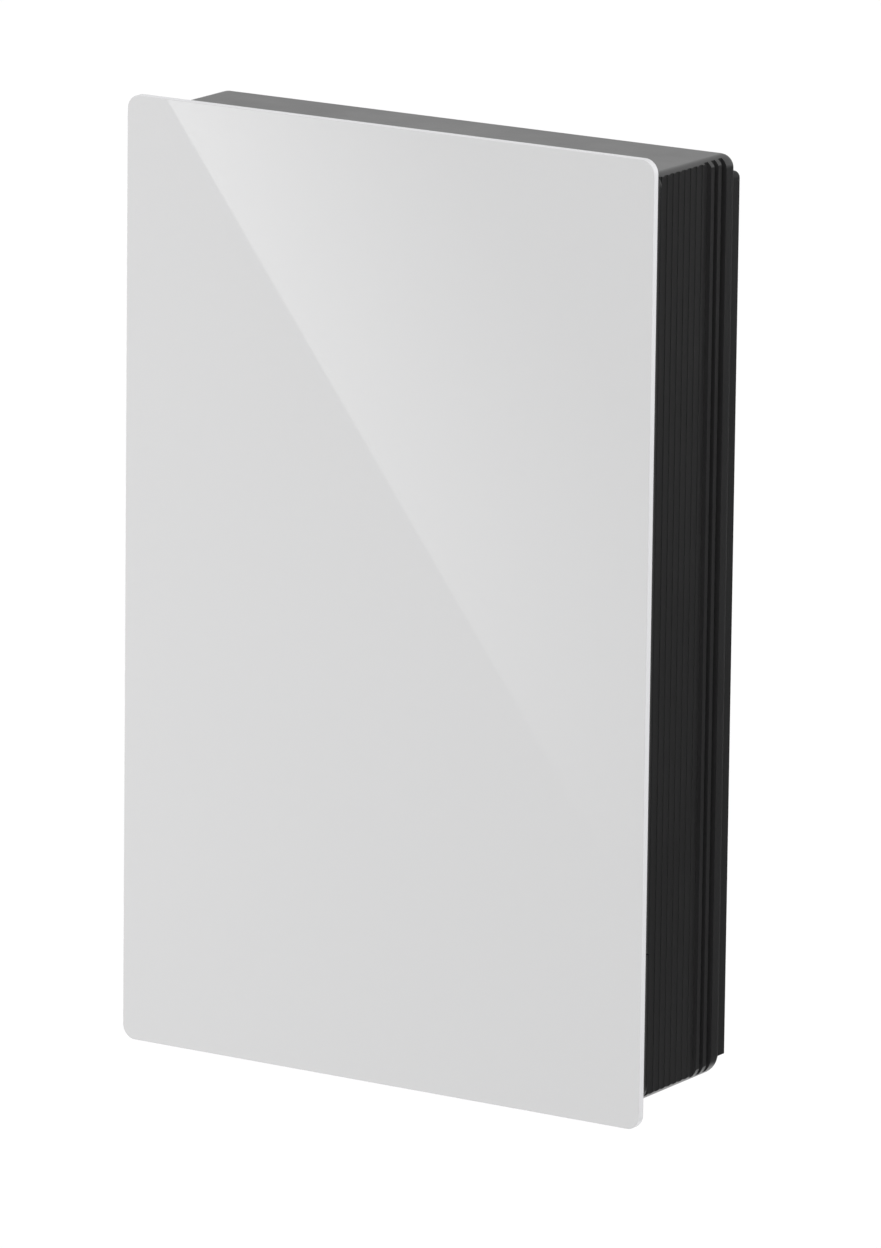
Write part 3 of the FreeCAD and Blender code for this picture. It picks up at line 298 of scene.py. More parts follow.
# --- Wall bracket: a drawn steel pan, powder coated, that screws to the wall and carries the unit
# on four riveted steel studs with wide heads.
BRACKET_SHADE = 0.011
BRACKET_ROUND = 0.0006
STUD_ROUND = 0.0005
ZINC_SHADE = 0.55
SAME_POINT = 1e-6
SHARP = math.radians(40)


def dress(finish, *names, rounding=0.0, segments=2):
    """Give CAD nodes a finish and, if asked, break their sharp edges."""
    for name in names:
        piece = nodes[name]
        piece.data.materials.clear()
        piece.data.materials.append(finish)
        if rounding:
            weld = piece.modifiers.new("weld", "WELD")
            weld.merge_threshold = SAME_POINT
            bevel = piece.modifiers.new("edge_round", "BEVEL")
            bevel.width = rounding
            bevel.segments = segments
            bevel.limit_method = "ANGLE"
            bevel.angle_limit = SHARP
            even = piece.modifiers.new("even", "WEIGHTED_NORMAL")
            even.keep_sharp = True


def frame_place(ink):
    """The place on the piece, in metres. Every piece is made at rest in the unit's own frame."""
    return ink.node("TexCoord", {}, "Object")


def along(ink, place, axis):
    return ink.node("SeparateXYZ", {}, axis, Vector=place)


def stretched(ink, place, factors):
    return ink.node("VectorMath", {"operation": "MULTIPLY"}, _0=place, _1=factors)


def relief(ink, height, depth, strength=0.3):
    return ink.node("Bump", Strength=strength, Distance=depth, Height=height)


def tint(colour, level=1.0):
    return tuple(level * part for part in colour) + (1,)


def cool_grey(shade):
    """Grey with a trace of blue."""
    return (shade, shade, shade * 1.02)


def powder_coat(name, shade, roughness, grain, gloss=0.5):
    """Baked powder over metal: a faint orange peel, a slight unevenness in its sheen and a few
    handling marks that dull it."""
    finish, ink = new_finish(name)
    place = frame_place(ink)
    cloud = ink.noise(place, scale=9.0, detail=3.0)
    smear = ink.noise(place, scale=34.0, detail=4.0, Roughness=0.6)
    peel = ink.noise(place, scale=grain, detail=2.0)
    fleck = ink.node("TexVoronoi", Vector=place, Scale=grain * 0.6)
    dark, bright = tint(cool_grey(shade), 0.88), tint(cool_grey(shade), 1.12)
    surface(ink, Base_Color=cloud.blend(dark, bright),
            Roughness=roughness + 0.08 * (cloud - 0.5) + 0.07 * (smear - 0.5),
            Specular_IOR_Level=gloss, Normal=relief(ink, peel + 0.35 * fleck, depth=0.00012))
    return finish


def plated_steel(name, colour, streak):
    """Plated steel: drawn streaks, a soft spangle, and dull patches where it has aged."""
    finish, ink = new_finish(name)
    place = frame_place(ink)
    lines = ink.noise(stretched(ink, place, streak), scale=900.0, detail=3.0)
    cell = ink.node("TexVoronoi", {}, "Color", Vector=place, Scale=420.0)
    spangle = along(ink, cell, "X")
    patch = ink.noise(place, scale=60.0, detail=4.0)
    worn = ink.node("MapRange", Value=patch, From_Min=0.45, From_Max=0.7)
    tone = (0.55 * spangle + 0.45 * lines).blend(tint(colour, 0.82), tint(colour, 1.1))
    surface(ink, Base_Color=(0.35 * worn).blend(tone, tint(colour, 0.58)), Metallic=1.0,
            Roughness=0.28 + 0.14 * spangle + 0.2 * worn,
            Normal=relief(ink, lines, depth=0.00005))
    return finish


bracket_coat = powder_coat("bracket_coat", BRACKET_SHADE, roughness=0.58, grain=900.0, gloss=0.3)
dress(bracket_coat, "wall_bracket", rounding=BRACKET_ROUND)
zinc_colour = (ZINC_SHADE, ZINC_SHADE * 1.01, ZINC_SHADE * 1.04)
zinc = plated_steel("zinc_steel", zinc_colour, streak=(1.0, 1.0, 0.06))
dress(zinc, "hanging_studs", rounding=STUD_ROUND)

# --- Case: one aluminium die casting, powder coated, with a deep tub, cooling fins on its back and
# ribs down its sides that draw air past it. Its edges are tumbled round before it is coated.
CASE_SHADE = 0.0175
CASE_ROUND = 0.0009
case_coat = powder_coat("case_coat", CASE_SHADE, roughness=0.33, grain=1100.0, gloss=0.52)
dress(case_coat, "main_case", rounding=CASE_ROUND, segments=3)

# --- Hooks: hat-shaped plates folded from zinc-plated sheet and screwed to the case's back. Their
# open slots drop over the bracket's studs.
SMALL_ROUND = 0.0004
sheet_zinc = plated_steel("sheet_zinc", zinc_colour, streak=(0.05, 1.0, 1.0))
dress(sheet_zinc, "hook_plates", rounding=SMALL_ROUND)
dress(zinc, "hook_screws", rounding=SMALL_ROUND)

# --- Cells: film-wrapped aluminium cans in two rows on a soft heat-spreading pad, parted by fibre
# sheets and squeezed between moulded end plates by steel bars. Thin boards sense each cell.
CELL_ROUND = 0.0012
BOARD_ROUND = 0.0002
PAD_GREY = (0.42, 0.44, 0.46)
PAD_DARK = tuple(0.85 * part for part in PAD_GREY)
BOARD_PITCH, SENSE_PITCH = 0.0042, 0.0026


def moulded(name, dark, bright, roughness, grain=1500.0, gloss=0.5):
    """A moulded plastic with a spark-eroded grain and faint flow marks."""
    finish, ink = new_finish(name)
    place = frame_place(ink)
    grit = ink.noise(place, scale=grain, detail=3.0, Roughness=0.6)
    flow = ink.noise(stretched(ink, place, (1.0, 1.0, 0.3)), scale=45.0, detail=3.0)
    surface(ink, Base_Color=(0.7 * flow + 0.3 * grit).blend(tint(dark), tint(bright)),
            Roughness=roughness + 0.12 * (flow - 0.5) + 0.06 * (grit - 0.5),
            Specular_IOR_Level=gloss, Normal=relief(ink, grit, depth=0.00009))
    return finish


def film_wrap():
    """Blue film shrunk on an aluminium can: gloss, faint wrinkles and a slightly uneven tone."""
    finish, ink = new_finish("cell_film")
    place = frame_place(ink)
    wrinkle = ink.noise(stretched(ink, place, (1.0, 1.0, 0.12)), scale=240.0, detail=3.0)
    tone = ink.noise(place, scale=28.0, detail=3.0)
    surface(ink, Base_Color=tone.blend((0.010, 0.052, 0.145, 1), (0.014, 0.078, 0.205, 1)),
            Roughness=0.24 + 0.16 * (wrinkle - 0.5),
            Normal=relief(ink, wrinkle, depth=0.0002, strength=0.25))
    return finish


def fibre_sheet(name, dark, bright, weave):
    """Pressed fibre: short crossing fibres that show as a mottled, matt surface."""
    finish, ink = new_finish(name)
    place = frame_place(ink)
    long_way = ink.noise(stretched(ink, place, (1.0, 1.0, 0.15)), scale=weave, detail=4.0)
    short_way = ink.noise(stretched(ink, place, (0.15, 0.15, 1.0)), scale=weave, detail=4.0)
    felt = ink.math("MAXIMUM", long_way, short_way)
    surface(ink, Base_Color=felt.blend(tint(dark), tint(bright)),
            Roughness=0.75 + 0.15 * (felt - 0.5), Normal=relief(ink, felt, depth=0.0001))
    return finish


def copper_bar(name, tinned):
    """Stamped copper: rolling lines, warm blotches of tarnish, and tin where it is plated."""
    finish, ink = new_finish(name)
    place = frame_place(ink)
    rolled = ink.noise(stretched(ink, place, (1.0, 1.0, 0.05)), scale=700.0, detail=3.0)
    stain = ink.noise(place, scale=70.0, detail=5.0)
    tarnish = ink.node("MapRange", Value=stain, From_Min=0.42, From_Max=0.68)
    bare = rolled.blend((0.72, 0.33, 0.20, 1), (0.93, 0.50, 0.34, 1))
    aged = (0.5 * tarnish).blend(bare, (0.36, 0.16, 0.10, 1))
    tin = tinned * (0.84 + 0.16 * rolled)
    surface(ink, Base_Color=tin.blend(aged, (0.66, 0.65, 0.62, 1)), Metallic=1.0,
            Roughness=0.26 + 0.2 * tarnish + 0.08 * (rolled - 0.5),
            Normal=relief(ink, rolled, depth=0.00004))
    return finish


def circuit_board(name, pitch):
    """Solder resist over copper tracks: raised runs that change their way from patch to patch,
    tinned pads and a silk grain."""
    finish, ink = new_finish(name)
    place = frame_place(ink)
    patch = ink.node("TexVoronoi", {"distance": "CHEBYCHEV"}, "Color", Vector=place,
                     Scale=0.13 / pitch)
    upright = ink.math("GREATER_THAN", patch, 0.52)
    sideways = along(ink, place, "X") + along(ink, place, "Y")
    beside = ink.math("PINGPONG", sideways, pitch * 0.22)
    above = ink.math("PINGPONG", along(ink, place, "Z"), pitch * 0.22)
    from_run = upright * beside + (1 - upright) * above
    tracks = from_run.band(pitch * 0.09, 1.0, pitch * 0.03)
    spots = ink.node("TexVoronoi", Vector=place, Scale=0.55 / pitch)
    pads = ink.node("MapRange", Value=spots, From_Min=0.2, From_Max=0.16)
    glassy = ink.noise(place, scale=1600.0, detail=2.0)
    resist = tracks.blend((0.008, 0.075, 0.032, 1), (0.016, 0.16, 0.065, 1))
    surface(ink, Base_Color=pads.blend(resist, (0.72, 0.70, 0.64, 1)), Metallic=pads * 0.9,
            Roughness=0.34 + 0.1 * (glassy - 0.5),
            Normal=relief(ink, tracks + 1.5 * pads, depth=0.00008))
    return finish


black_plastic = moulded("black_plastic", (0.012, 0.012, 0.013), (0.024, 0.024, 0.026), 0.5)
grey_plastic = moulded("grey_plastic", (0.30, 0.31, 0.32), (0.40, 0.41, 0.42), 0.48)
end_plastic = moulded("end_plastic", (0.22, 0.23, 0.24), (0.31, 0.32, 0.33), 0.52)
separator_sheet = fibre_sheet("separator_sheet", (0.58, 0.57, 0.52), (0.76, 0.75, 0.70), 1100.0)
pad_sheet = fibre_sheet("pad_sheet", PAD_DARK, PAD_GREY, 1700.0)
copper = copper_bar("copper", tinned=0.0)
board = circuit_board("board_green", BOARD_PITCH)
dress(film_wrap(), "battery_cells", rounding=CELL_ROUND)
dress(separator_sheet, "cell_separators")
dress(pad_sheet, "thermal_pad")
dress(end_plastic, "end_plates", rounding=CELL_ROUND)
dress(zinc, "clamp_bars", rounding=SMALL_ROUND)
dress(copper_bar("tinned_copper", tinned=1.0), "cell_links", rounding=SMALL_ROUND)
dress(circuit_board("sense_green", SENSE_PITCH), "sense_boards", rounding=BOARD_ROUND)

# --- Fans: two moulded fans on a plated shelf over the cells. Each rotor turns on a steel pin that
# the frame's crossed arms hold.
FAN_ROUND = 0.0005
FINE_ROUND = 0.0003
rotor_plastic = moulded("rotor_plastic", (0.018, 0.018, 0.019), (0.034, 0.034, 0.036), 0.36)
dress(zinc, "fan_shelf", rounding=SMALL_ROUND)
dress(black_plastic, "fan_frames", rounding=FAN_ROUND)
dress(rotor_plastic, "fan_rotor_left", "fan_rotor_right", rounding=FINE_ROUND)

# --- Power stage: boards on brass posts in the top of the case. Switching modules sit between the
# main board and the case's back, with sleeved capacitors, wound chokes and relays in front.
MM = 0.001
POWER_ROUND = 0.0006
SMOOTH_BELOW = math.radians(32)
OUTWARD = Vector((0, -1, 0))
SLEEVE_LIP = 0.0009
SCORE_WIDE, SCORE_REACH = 0.0003, 0.0068
TURNS = 44
CORE_BORE = 9.2


def solids(node):
    """The lowest and highest corners of each separate solid in a CAD node, in order."""
    shape = bmesh.new()
    shape.from_mesh(nodes[node].data)
    bmesh.ops.remove_doubles(shape, verts=shape.verts, dist=SAME_POINT)
    left, found = set(shape.verts), []
    while left:
        reached = [left.pop()]
        for corner in reached:
            for edge in corner.link_edges:
                other = edge.other_vert(corner)
                if other in left:
                    left.discard(other)
                    reached.append(other)
        found.append([Vector(end(corner.co[axis] for corner in reached) for axis in range(3))
                      for end in (min, max)])
    shape.free()
    return sorted(found, key=lambda ends: tuple(round(value, 5) for value in ends[0]))


def reach(form, angle):
    """How far a turned section goes out at an angle, as a share of its largest radius."""
    if form == "hex":
        return math.cos(math.pi / 6) / math.cos((angle % (math.pi / 3)) - math.pi / 6)
    if form == "lobes":
        return 0.86 + 0.14 * math.cos(6 * angle)
    if form == "grip":
        return 0.975 + 0.025 * math.cos(24 * angle)
    if form == "slots":
        return 0.80 if math.cos(12 * angle) < -0.45 else 1.0
    if form == "wound":
        return 0.985 + 0.015 * math.cos(TURNS * angle)
    return 1.0


def turned(name, finish, centres, way, rings, sides=48, bored=False):
    """Like turned pieces as one mesh. A ring has its height along way and its radius, in
    millimetres, and its form. A bored piece's last ring joins its first."""
    across = Vector((0, 1, 0)) if abs(way.x) > 0.5 else Vector((1, 0, 0))
    other = way.cross(across)
    shape = bmesh.new()
    for centre in centres:
        loops = []
        for height, radius, form in rings:
            loops.append([])
            for step in range(sides):
                angle = 2 * math.pi * step / sides
                out = radius * MM * reach(form, angle)
                point = (centre + way * height * MM + across * out * math.cos(angle)
                         + other * out * math.sin(angle))
                loops[-1].append(shape.verts.new(point))
        for low, high in zip(loops, loops[1:] + loops[:1] if bored else loops[1:]):
            for step in range(sides):
                onward = (step + 1) % sides
                shape.faces.new((low[step], low[onward], high[onward], high[step]))
        if not bored:
            shape.faces.new(loops[0][::-1])
            shape.faces.new(loops[-1])
    bmesh.ops.recalc_face_normals(shape, faces=shape.faces)
    mesh = bpy.data.meshes.new(name)
    shape.to_mesh(mesh)
    shape.free()
    mesh.shade_smooth()
    mesh.set_sharp_from_angle(angle=SMOOTH_BELOW)
    return new_piece(name, mesh, finish)


def stand_in(piece, body, slot, *stood_for):
    """The piece moves with its body and may stand for CAD nodes. Its slot is not used."""
    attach(piece, body)
    if stood_for:
        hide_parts(*stood_for)


def plain(*pairs):
    return [(height, radius, "round") for height, radius in pairs]


def front_centres(node, seat):
    """The axes of pieces that point out from the wall, at the depth of the face they seat on."""
    return [Vector(((low.x + high.x) / 2, seat, (low.z + high.z) / 2))
            for low, high in solids(node)]


def turned_brass():
    """Brass turned from bar: fine rings round each post and a warm, slightly dulled shine."""
    finish, ink = new_finish("post_brass")
    place = frame_place(ink)
    rings = ink.node("TexWave", {"wave_type": "BANDS", "bands_direction": "Y"}, "Fac",
                     Vector=place, Scale=900.0, Distortion=0.6, Detail=2.0)
    stain = ink.noise(place, scale=120.0, detail=4.0)
    surface(ink, Base_Color=stain.blend((0.58, 0.42, 0.17, 1), (0.80, 0.62, 0.28, 1)),
            Metallic=1.0, Roughness=0.25 + 0.16 * (stain - 0.5) + 0.05 * rings,
            Normal=relief(ink, rings, depth=0.00004))
    return finish


def own_axis(ink, place, axis, centres):
    """How far along an axis a place is from the middle of its own one of evenly spaced pieces."""
    step = centres[1] - centres[0]
    edge = centres[0] - step / 2
    return ink.math("WRAP", along(ink, place, axis), edge + step, edge) - centres[0]


def spaced(node, axis):
    """The different middles of a node's solids along an axis, in order."""
    return sorted({round((low[axis] + high[axis]) / 2, 5) for low, high in solids(node)})


def capacitor_sleeve(front):
    """A dark sleeve shrunk over an aluminium can. The can's end is bare and has a scored cross,
    which lets it open if it fails. The cross is painted dark: painted shade in its grooves."""
    finish, ink = new_finish("capacitor_sleeve")
    place = frame_place(ink)
    bare = along(ink, place, "Y").band(-1.0, front + SLEEVE_LIP, 0.0003)
    across = own_axis(ink, place, "X", spaced("bus_capacitors", 0))
    up = own_axis(ink, place, "Z", spaced("bus_capacitors", 2))
    nearer = ink.math("MINIMUM", ink.math("ABSOLUTE", across), ink.math("ABSOLUTE", up))
    cross = nearer.band(-1.0, SCORE_WIDE, 0.0002)
    score = cross * (across * across + up * up).band(-1.0, SCORE_REACH ** 2, 1e-6)
    grit = ink.noise(place, scale=500.0, detail=3.0)
    sleeve = grit.blend((0.010, 0.014, 0.035, 1), (0.018, 0.024, 0.055, 1))
    # The scored cross darkens the bare metal: painted shade in its grooves.
    metal = (1 - score).blend((0.22, 0.22, 0.23, 1), (0.62, 0.63, 0.64, 1))
    surface(ink, Base_Color=bare.blend(sleeve, metal), Metallic=bare,
            Roughness=0.26 + 0.12 * grit,
            Normal=relief(ink, grit - 2.0 * score * bare, depth=0.0001))
    return finish


def wound_core():
    """Lacquered wire wound round a dark core: turns that run out from its middle, each bright
    on its crest and painted darker towards the gaps between them as painted shade."""
    finish, ink = new_finish("wound_core")
    place = frame_place(ink)
    low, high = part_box("filter_chokes")
    across = own_axis(ink, place, "X", spaced("filter_chokes", 0))
    angle = ink.math("ARCTAN2", along(ink, place, "Z") - (low.z + high.z) / 2, across)
    # Each turn fades from the wire's colour on its crest to dark at its sides: painted shade in the
    # gaps between turns.
    turns = (0.5 + 0.75 * ink.math("COSINE", TURNS * angle)).clamp()
    tone = ink.noise(place, scale=90.0, detail=3.0)
    wire = tone.blend((0.30, 0.10, 0.035, 1), (0.48, 0.18, 0.06, 1))
    surface(ink, Base_Color=turns.blend((0.05, 0.022, 0.012, 1), wire), Metallic=0.7 * turns,
            Roughness=0.32 + 0.2 * (tone - 0.5),
            Normal=relief(ink, turns, depth=0.0003, strength=0.5))
    return finish


brass = turned_brass()
dress(board, "power_board", "control_board", rounding=BOARD_ROUND)
dress(brass, "board_posts", "control_posts", rounding=FINE_ROUND)
dress(zinc, "board_screws", "control_screws", rounding=FINE_ROUND)
dress(black_plastic, "power_modules", "grid_relays", rounding=POWER_ROUND)

can_low, can_high = solids("bus_capacitors")[0]
can_radius = (can_high.x - can_low.x) / 2 / MM
can_length = (can_high.y - can_low.y) / MM
can_rings = (plain((0.0, can_radius - 0.5), (0.4, can_radius), (3.0, can_radius),
                   (3.5, can_radius - 0.7), (4.5, can_radius - 0.7), (5.0, can_radius))
             + plain((can_length - 1.4, can_radius), (can_length - 0.5, can_radius - 0.3),
                     (can_length, can_radius - 1.1), (can_length, can_radius - 1.7),
                     (can_length - 0.4, can_radius - 2.1), (can_length - 0.4, 0.6)))
cans = turned("sleeved_cans", capacitor_sleeve(can_low.y),
              front_centres("bus_capacitors", can_high.y), OUTWARD, can_rings)
stand_in(cans, "case", "capacitor_sleeve", "bus_capacitors")

choke_low, choke_high = solids("filter_chokes")[0]
coil_radius = (choke_high.x - choke_low.x) / 2 / MM
coil_length = (choke_high.y - choke_low.y) / MM
coil_section = ((3.0, coil_radius), (coil_length - 3.0, coil_radius),
                (coil_length - 1.0, coil_radius - 0.9), (coil_length, coil_radius - 3.0),
                (coil_length, CORE_BORE + 3.0), (coil_length - 1.0, CORE_BORE + 0.9),
                (coil_length - 3.0, CORE_BORE), (3.0, CORE_BORE), (1.0, CORE_BORE + 0.9),
                (0.0, CORE_BORE + 3.0), (0.0, coil_radius - 3.0), (1.0, coil_radius - 0.9))
coil_rings = [(height, radius, "wound") for height, radius in coil_section]
coils = turned("wound_chokes", wound_core(), front_centres("filter_chokes", choke_high.y),
               OUTWARD, coil_rings, sides=4 * TURNS, bored=True)
stand_in(coils, "case", "ferrite", "filter_chokes")

socket_plastic = moulded("socket_plastic", (0.62, 0.61, 0.57), (0.74, 0.73, 0.69), 0.45)
dress(socket_plastic, "board_sockets", rounding=FINE_ROUND)
dress(copper, "power_posts", "riser_links", rounding=FINE_ROUND)

# --- Wiring room: contactors, a cartridge fuse, the isolator, the grid terminals and the ground
# bar, which an installer reaches behind the lower cover.
WIRING_ROUND = 0.0007
FUSE_ROUND = 0.0008
FUSE_CAP = 0.006


def capped_fuse():
    """A glazed ceramic barrel with plated caps pressed on its ends."""
    low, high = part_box("main_fuse")
    finish, ink = new_finish("fuse_ceramic")
    place = frame_place(ink)
    barrel = along(ink, place, "X").band(low.x + FUSE_CAP, high.x - FUSE_CAP, 0.0003)
    crackle = ink.noise(place, scale=300.0, detail=4.0)
    glaze = crackle.blend((0.70, 0.68, 0.62, 1), (0.84, 0.82, 0.77, 1))
    surface(ink, Base_Color=barrel.blend((0.63, 0.62, 0.58, 1), glaze), Metallic=1 - barrel,
            Roughness=0.2 + 0.14 * crackle, Normal=relief(ink, crackle, depth=0.00005))
    return finish


contactor_plastic = moulded("contactor_plastic", (0.030, 0.031, 0.034), (0.048, 0.049, 0.053), 0.5)
toggle_plastic = moulded("toggle_plastic", (0.42, 0.03, 0.022), (0.55, 0.045, 0.032), 0.35)
dress(contactor_plastic, "contactors", rounding=WIRING_ROUND)
dress(copper, "supply_links", "ground_bar", rounding=SMALL_ROUND)
dress(grey_plastic, "fuse_base", "isolator_body", "grid_terminals", rounding=SMALL_ROUND)
dress(capped_fuse(), "main_fuse", rounding=FUSE_ROUND)
dress(toggle_plastic, "isolator_toggle", rounding=WIRING_ROUND)
dress(zinc, "terminal_screws", "ground_bar_screws", rounding=FINE_ROUND)

# --- Bottom fittings: a threaded hub for conduit with its lock nut, two cable glands closed by
# plugs, a breather and a ground stud. They go through the foot of the case, which seals on them.
DOWN = Vector((0, 0, -1))
FOOT_SIDES = 96
THREAD_TOP, THREAD_END = -13.0, -5.5
HUB_CREST, HUB_ROOT, HUB_COLLAR, HUB_BORE = 15.9, 15.3, 18.0, 13.5
GLAND_CREST, GLAND_ROOT, GLAND_HEX, GLAND_CAP, GLAND_BORE = 7.9, 7.4, 12.7, 9.4, 5.2
VENT_STEM, VENT_CAP = 5.9, 10.0
NUT_ROUND, GLAND_ROUND = 0.0006, 0.0005


def foot_centres(node, seat):
    """The axes of upright fittings, at the height of the face that they seat on."""
    return [Vector(((low.x + high.x) / 2, (low.y + high.y) / 2, seat))
            for low, high in solids(node)]


def threads(start, end, pitch, crest, root):
    """Rings that rise and fall like a thread's ridges."""
    turns = round(abs(end - start) / pitch)
    step = (end - start) / turns
    heights = [start + step * (turn + part) for turn in range(turns) for part in (0.0, 0.5)]
    return plain(*((height, root if index % 2 else crest)
                   for index, height in enumerate(heights)))


case_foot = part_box("main_case")[0].z
hub_rings = (threads(THREAD_TOP, THREAD_END, 1.5, HUB_CREST, HUB_ROOT)
             + plain((-5.0, HUB_CREST), (0.0, HUB_CREST), (0.0, 17.4), (0.6, HUB_COLLAR))
             + [(1.6, HUB_COLLAR, "grip"), (10.2, HUB_COLLAR, "grip")]
             + plain((11.2, HUB_COLLAR), (12.0, 17.1), (12.0, 14.3), (11.2, HUB_BORE),
                     (-12.2, HUB_BORE), (THREAD_TOP, 14.3)))
hub = turned("conduit_entry_hub", zinc, foot_centres("conduit_hub", case_foot), DOWN, hub_rings,
             FOOT_SIDES, bored=True)
stand_in(hub, "case", "zinc_steel", "conduit_hub")
dress(zinc, "hub_nut", rounding=NUT_ROUND)

gland_rings = (threads(THREAD_TOP, THREAD_END, 1.25, GLAND_CREST, GLAND_ROOT)
               + plain((-5.0, GLAND_CREST), (0.0, GLAND_CREST))
               + [(0.0, GLAND_HEX, "hex"), (4.6, GLAND_HEX, "hex")]
               + plain((5.0, 10.2), (5.0, 9.0), (5.5, GLAND_CAP))
               + [(5.9, GLAND_CAP, "grip"), (8.8, GLAND_CAP, "grip")]
               + plain((9.2, 9.35), (10.1, 8.7), (10.7, 7.7), (11.0, 6.6), (11.0, 5.5),
                       (10.6, GLAND_BORE), (-12.6, GLAND_BORE), (THREAD_TOP, 5.6)))
glands = turned("ribbed_glands", black_plastic, foot_centres("cable_glands", case_foot), DOWN,
                gland_rings, FOOT_SIDES, bored=True)
stand_in(glands, "case", "black_plastic", "cable_glands")
dress(black_plastic, "gland_nuts", rounding=GLAND_ROUND)
rubber = moulded("seal_rubber", (0.016, 0.016, 0.016), (0.034, 0.033, 0.032), 0.72,
                 grain=1200.0, gloss=0.3)
dress(rubber, "gland_plugs", rounding=GLAND_ROUND)

vent_rings = (plain((-6.0, 5.4), (-5.6, VENT_STEM), (0.0, VENT_STEM), (0.0, 9.6), (0.4, VENT_CAP))
              + [(0.8, VENT_CAP, "slots"), (2.6, VENT_CAP, "slots")]
              + plain((3.0, VENT_CAP), (3.6, 9.2), (3.9, 7.0), (4.0, 4.4), (3.6, 4.0), (3.5, 2.2),
                      (3.8, 1.6)))
vent = turned("slotted_breather", black_plastic, foot_centres("pressure_vent", case_foot), DOWN,
              vent_rings, FOOT_SIDES)
stand_in(vent, "case", "black_plastic", "pressure_vent")
dress(brass, "ground_stud", rounding=SMALL_ROUND)

# --- Rocker and light: a moulded bezel clipped in the case's left side holds the enable rocker on
# a pin. Above the rocker, a frosted window spreads the light of a small board behind it.
ROCKER_ROUND = 0.0006
LIGHT_BOARD_ROUND = 0.0001
FACE_HEIGHT = 2.8 * MM
MARK_RISE, MARK_SINK, MARK_EASE = 0.2, 0.1, 0.05
MARK_AWAY = 3.7 * MM
RING_OUT, RING_IN = 1.3, 0.9
BAR_WIDE, BAR_HIGH = 0.4, 2.6


def frosted_lens():
    """Milky plastic that a green lamp behind warms faintly, brightest at its middle."""
    low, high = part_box("status_light")
    finish, ink = new_finish("lens_plastic")
    place = frame_place(ink)
    frost = ink.noise(place, scale=2200.0, detail=3.0)
    offset = (along(ink, place, "Z") - (low.z + high.z) / 2) / ((high.z - low.z) / 2)
    lamp = (1 - offset * offset).clamp()
    surface(ink, Base_Color=frost.blend((0.26, 0.42, 0.32, 1), (0.34, 0.52, 0.40, 1)),
            Roughness=0.42 + 0.2 * (frost - 0.5), Normal=relief(ink, frost, depth=0.00006),
            Emission_Color=lamp.blend((0.02, 0.10, 0.04, 1), (0.08, 0.60, 0.22, 1)),
            Emission_Strength=0.45)
    return finish


def add_bar(piece, centre, ways, sizes, ease):
    """Add a bar with eased edges to a piece. Its sizes, in millimetres, are along its ways."""
    place = facing(*ways)
    place.translation = centre
    shape = bmesh.new()
    shape.from_mesh(piece.data)
    bar = bmesh.ops.create_cube(shape, size=MM, matrix=place @ Matrix.Diagonal((*sizes, 1)))
    edges = list({edge for corner in bar["verts"] for edge in corner.link_edges})
    bmesh.ops.bevel(shape, geom=edges, offset=ease * MM, segments=2, profile=0.5,
                    affect="EDGES")
    shape.to_mesh(piece.data)
    shape.free()


rocker_plastic = moulded("rocker_plastic", (0.020, 0.020, 0.021), (0.034, 0.034, 0.036), 0.24)
dress(black_plastic, "rocker_bezel", rounding=SMALL_ROUND)
dress(rocker_plastic, "enable_rocker", rounding=ROCKER_ROUND)

tip = next(joint for joint in frame["joints"] if joint["name"] == "rocker_tip")
lean = math.radians(tip["range_deg"][1] / 2)
face_out = Vector((-math.cos(lean), 0, -math.sin(lean)))
face_up = Vector((-math.sin(lean), 0, math.cos(lean)))
face_centre = Vector(tip["pos_m"]) + face_out * FACE_HEIGHT
ring_section = plain((-MARK_SINK, RING_OUT), (MARK_RISE - MARK_EASE, RING_OUT),
                   (MARK_RISE, RING_OUT - MARK_EASE), (MARK_RISE, RING_IN + MARK_EASE),
                   (MARK_RISE - MARK_EASE, RING_IN), (-MARK_SINK, RING_IN))
mark_white = moulded("mark_white", (0.60, 0.60, 0.58), (0.72, 0.72, 0.70), 0.5)
marks = turned("rocker_marks", mark_white, [face_centre - face_up * MARK_AWAY], face_out,
               ring_section, sides=40, bored=True)
bar_centre = (face_centre + face_up * MARK_AWAY
              + face_out * (MARK_RISE - MARK_SINK) / 2 * MM)
add_bar(marks, bar_centre, (face_out, Vector((0, 1, 0)), face_up),
        (MARK_RISE + MARK_SINK, BAR_WIDE, BAR_HIGH), MARK_EASE)
stand_in(marks, "enable_rocker", "rocker_plastic")
dress(frosted_lens(), "status_light", rounding=FINE_ROUND)
dress(board, "light_board", rounding=LIGHT_BOARD_ROUND)

# --- Covers: stamped and coated aluminium sheets that close the battery bay and the wiring room on
# rubber gaskets, with pan-head screws into the case's posts. Rubber domes on them steady the panel.
GASKET_ROUND = 0.0002
COVER_ROUND = 0.0005
SCREW_CREST, SCREW_ROOT, SCREW_HEAD = 2.0, 1.65, 4.0
SCREW_SIDES = 36
dress(rubber, "battery_gasket", "wiring_gasket", rounding=GASKET_ROUND)
dress(case_coat, "battery_cover", "wiring_cover", rounding=COVER_ROUND)
cover_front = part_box("battery_cover")[0].y
screw_rings = (plain((-16.0, 0.9), (-15.0, 1.6))
               + threads(-14.8, -0.8, 0.7, SCREW_CREST, SCREW_ROOT)
               + plain((-0.4, SCREW_CREST), (0.0, SCREW_CREST), (0.0, 3.8), (0.3, SCREW_HEAD),
                       (0.9, SCREW_HEAD), (1.5, 3.7), (1.95, 3.1), (2.2, 2.3))
               + [(2.2, 1.75, "lobes"), (0.7, 1.65, "lobes")] + plain((0.4, 0.4)))
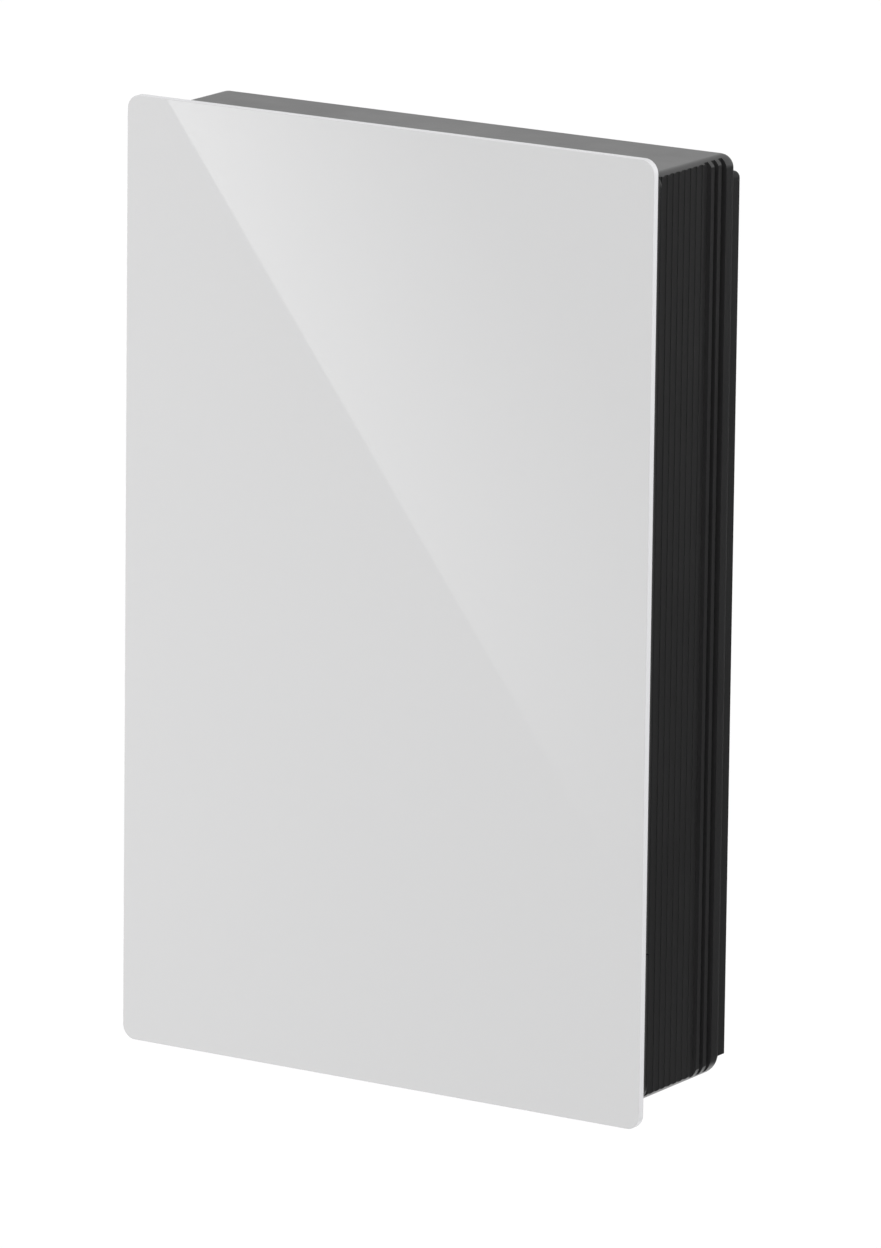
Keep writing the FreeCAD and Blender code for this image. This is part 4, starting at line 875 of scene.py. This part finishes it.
screws = turned("cover_lobe_screws", zinc, front_centres("cover_screws", cover_front), OUTWARD,
                screw_rings, SCREW_SIDES)
stand_in(screws, "case", "zinc_steel", "cover_screws")

bumper_rings = plain((0.0, 6.6), (0.3, 7.0), (1.2, 7.0), (2.0, 6.7), (2.6, 5.9), (3.0, 4.6),
                     (3.2, 2.8), (3.2, 0.6))
bumpers = turned("domed_bumpers", rubber, front_centres("panel_bumpers", cover_front), OUTWARD,
                 bumper_rings)
stand_in(bumpers, "case", "seal_rubber", "panel_bumpers")
dress(grey_plastic, "clip_sockets", rounding=FINE_ROUND)

# --- Front panel: toughened glass, enamelled white on its back and ground smooth at its edges,
# bonded to a coated carrier. Moulded studs on the carrier snap into the sockets in the covers.
GLASS_WHITE = 0.471
EDGE_HIGHLIGHT_WHITE = 0.60
GLASS_ROUND = 0.0004
GLASS_IOR = 1.5
CARRIER_SHADE = 0.03
CARRIER_ROUND = 0.0004


def enamelled_glass():
    """White enamel seen through glass: barely uneven in tone, with faint wiping marks in its
    shine, and ground edges painted paler than the face as a painted highlight."""
    finish, ink = new_finish("panel_glass")
    place = frame_place(ink)
    outward = along(ink, ink.node("TexCoord", {}, "Normal"), "Y")
    front = (outward * outward).band(0.6, 2.0, 0.4)
    tone = ink.noise(place, scale=3.0, detail=2.0)
    wiped = ink.noise(stretched(ink, place, (1.0, 1.0, 0.25)), scale=14.0, detail=4.0)
    white = (GLASS_WHITE, GLASS_WHITE, GLASS_WHITE * 1.006)
    enamel = tone.blend(tint(white, 0.99), tint(white, 1.01))
    # The edges take a paler colour than the face: a painted highlight along the panel's edges.
    surface(ink, Base_Color=front.blend(tint(cool_grey(EDGE_HIGHLIGHT_WHITE)), enamel), IOR=GLASS_IOR,
            Roughness=0.24 - 0.235 * front + 0.014 * wiped)
    return finish


carrier_coat = powder_coat("carrier_coat", CARRIER_SHADE, roughness=0.5, grain=700.0, gloss=0.4)
dress(enamelled_glass(), "front_panel", rounding=GLASS_ROUND)
dress(carrier_coat, "panel_carrier", rounding=CARRIER_ROUND)
dress(grey_plastic, "panel_studs", rounding=FINE_ROUND)
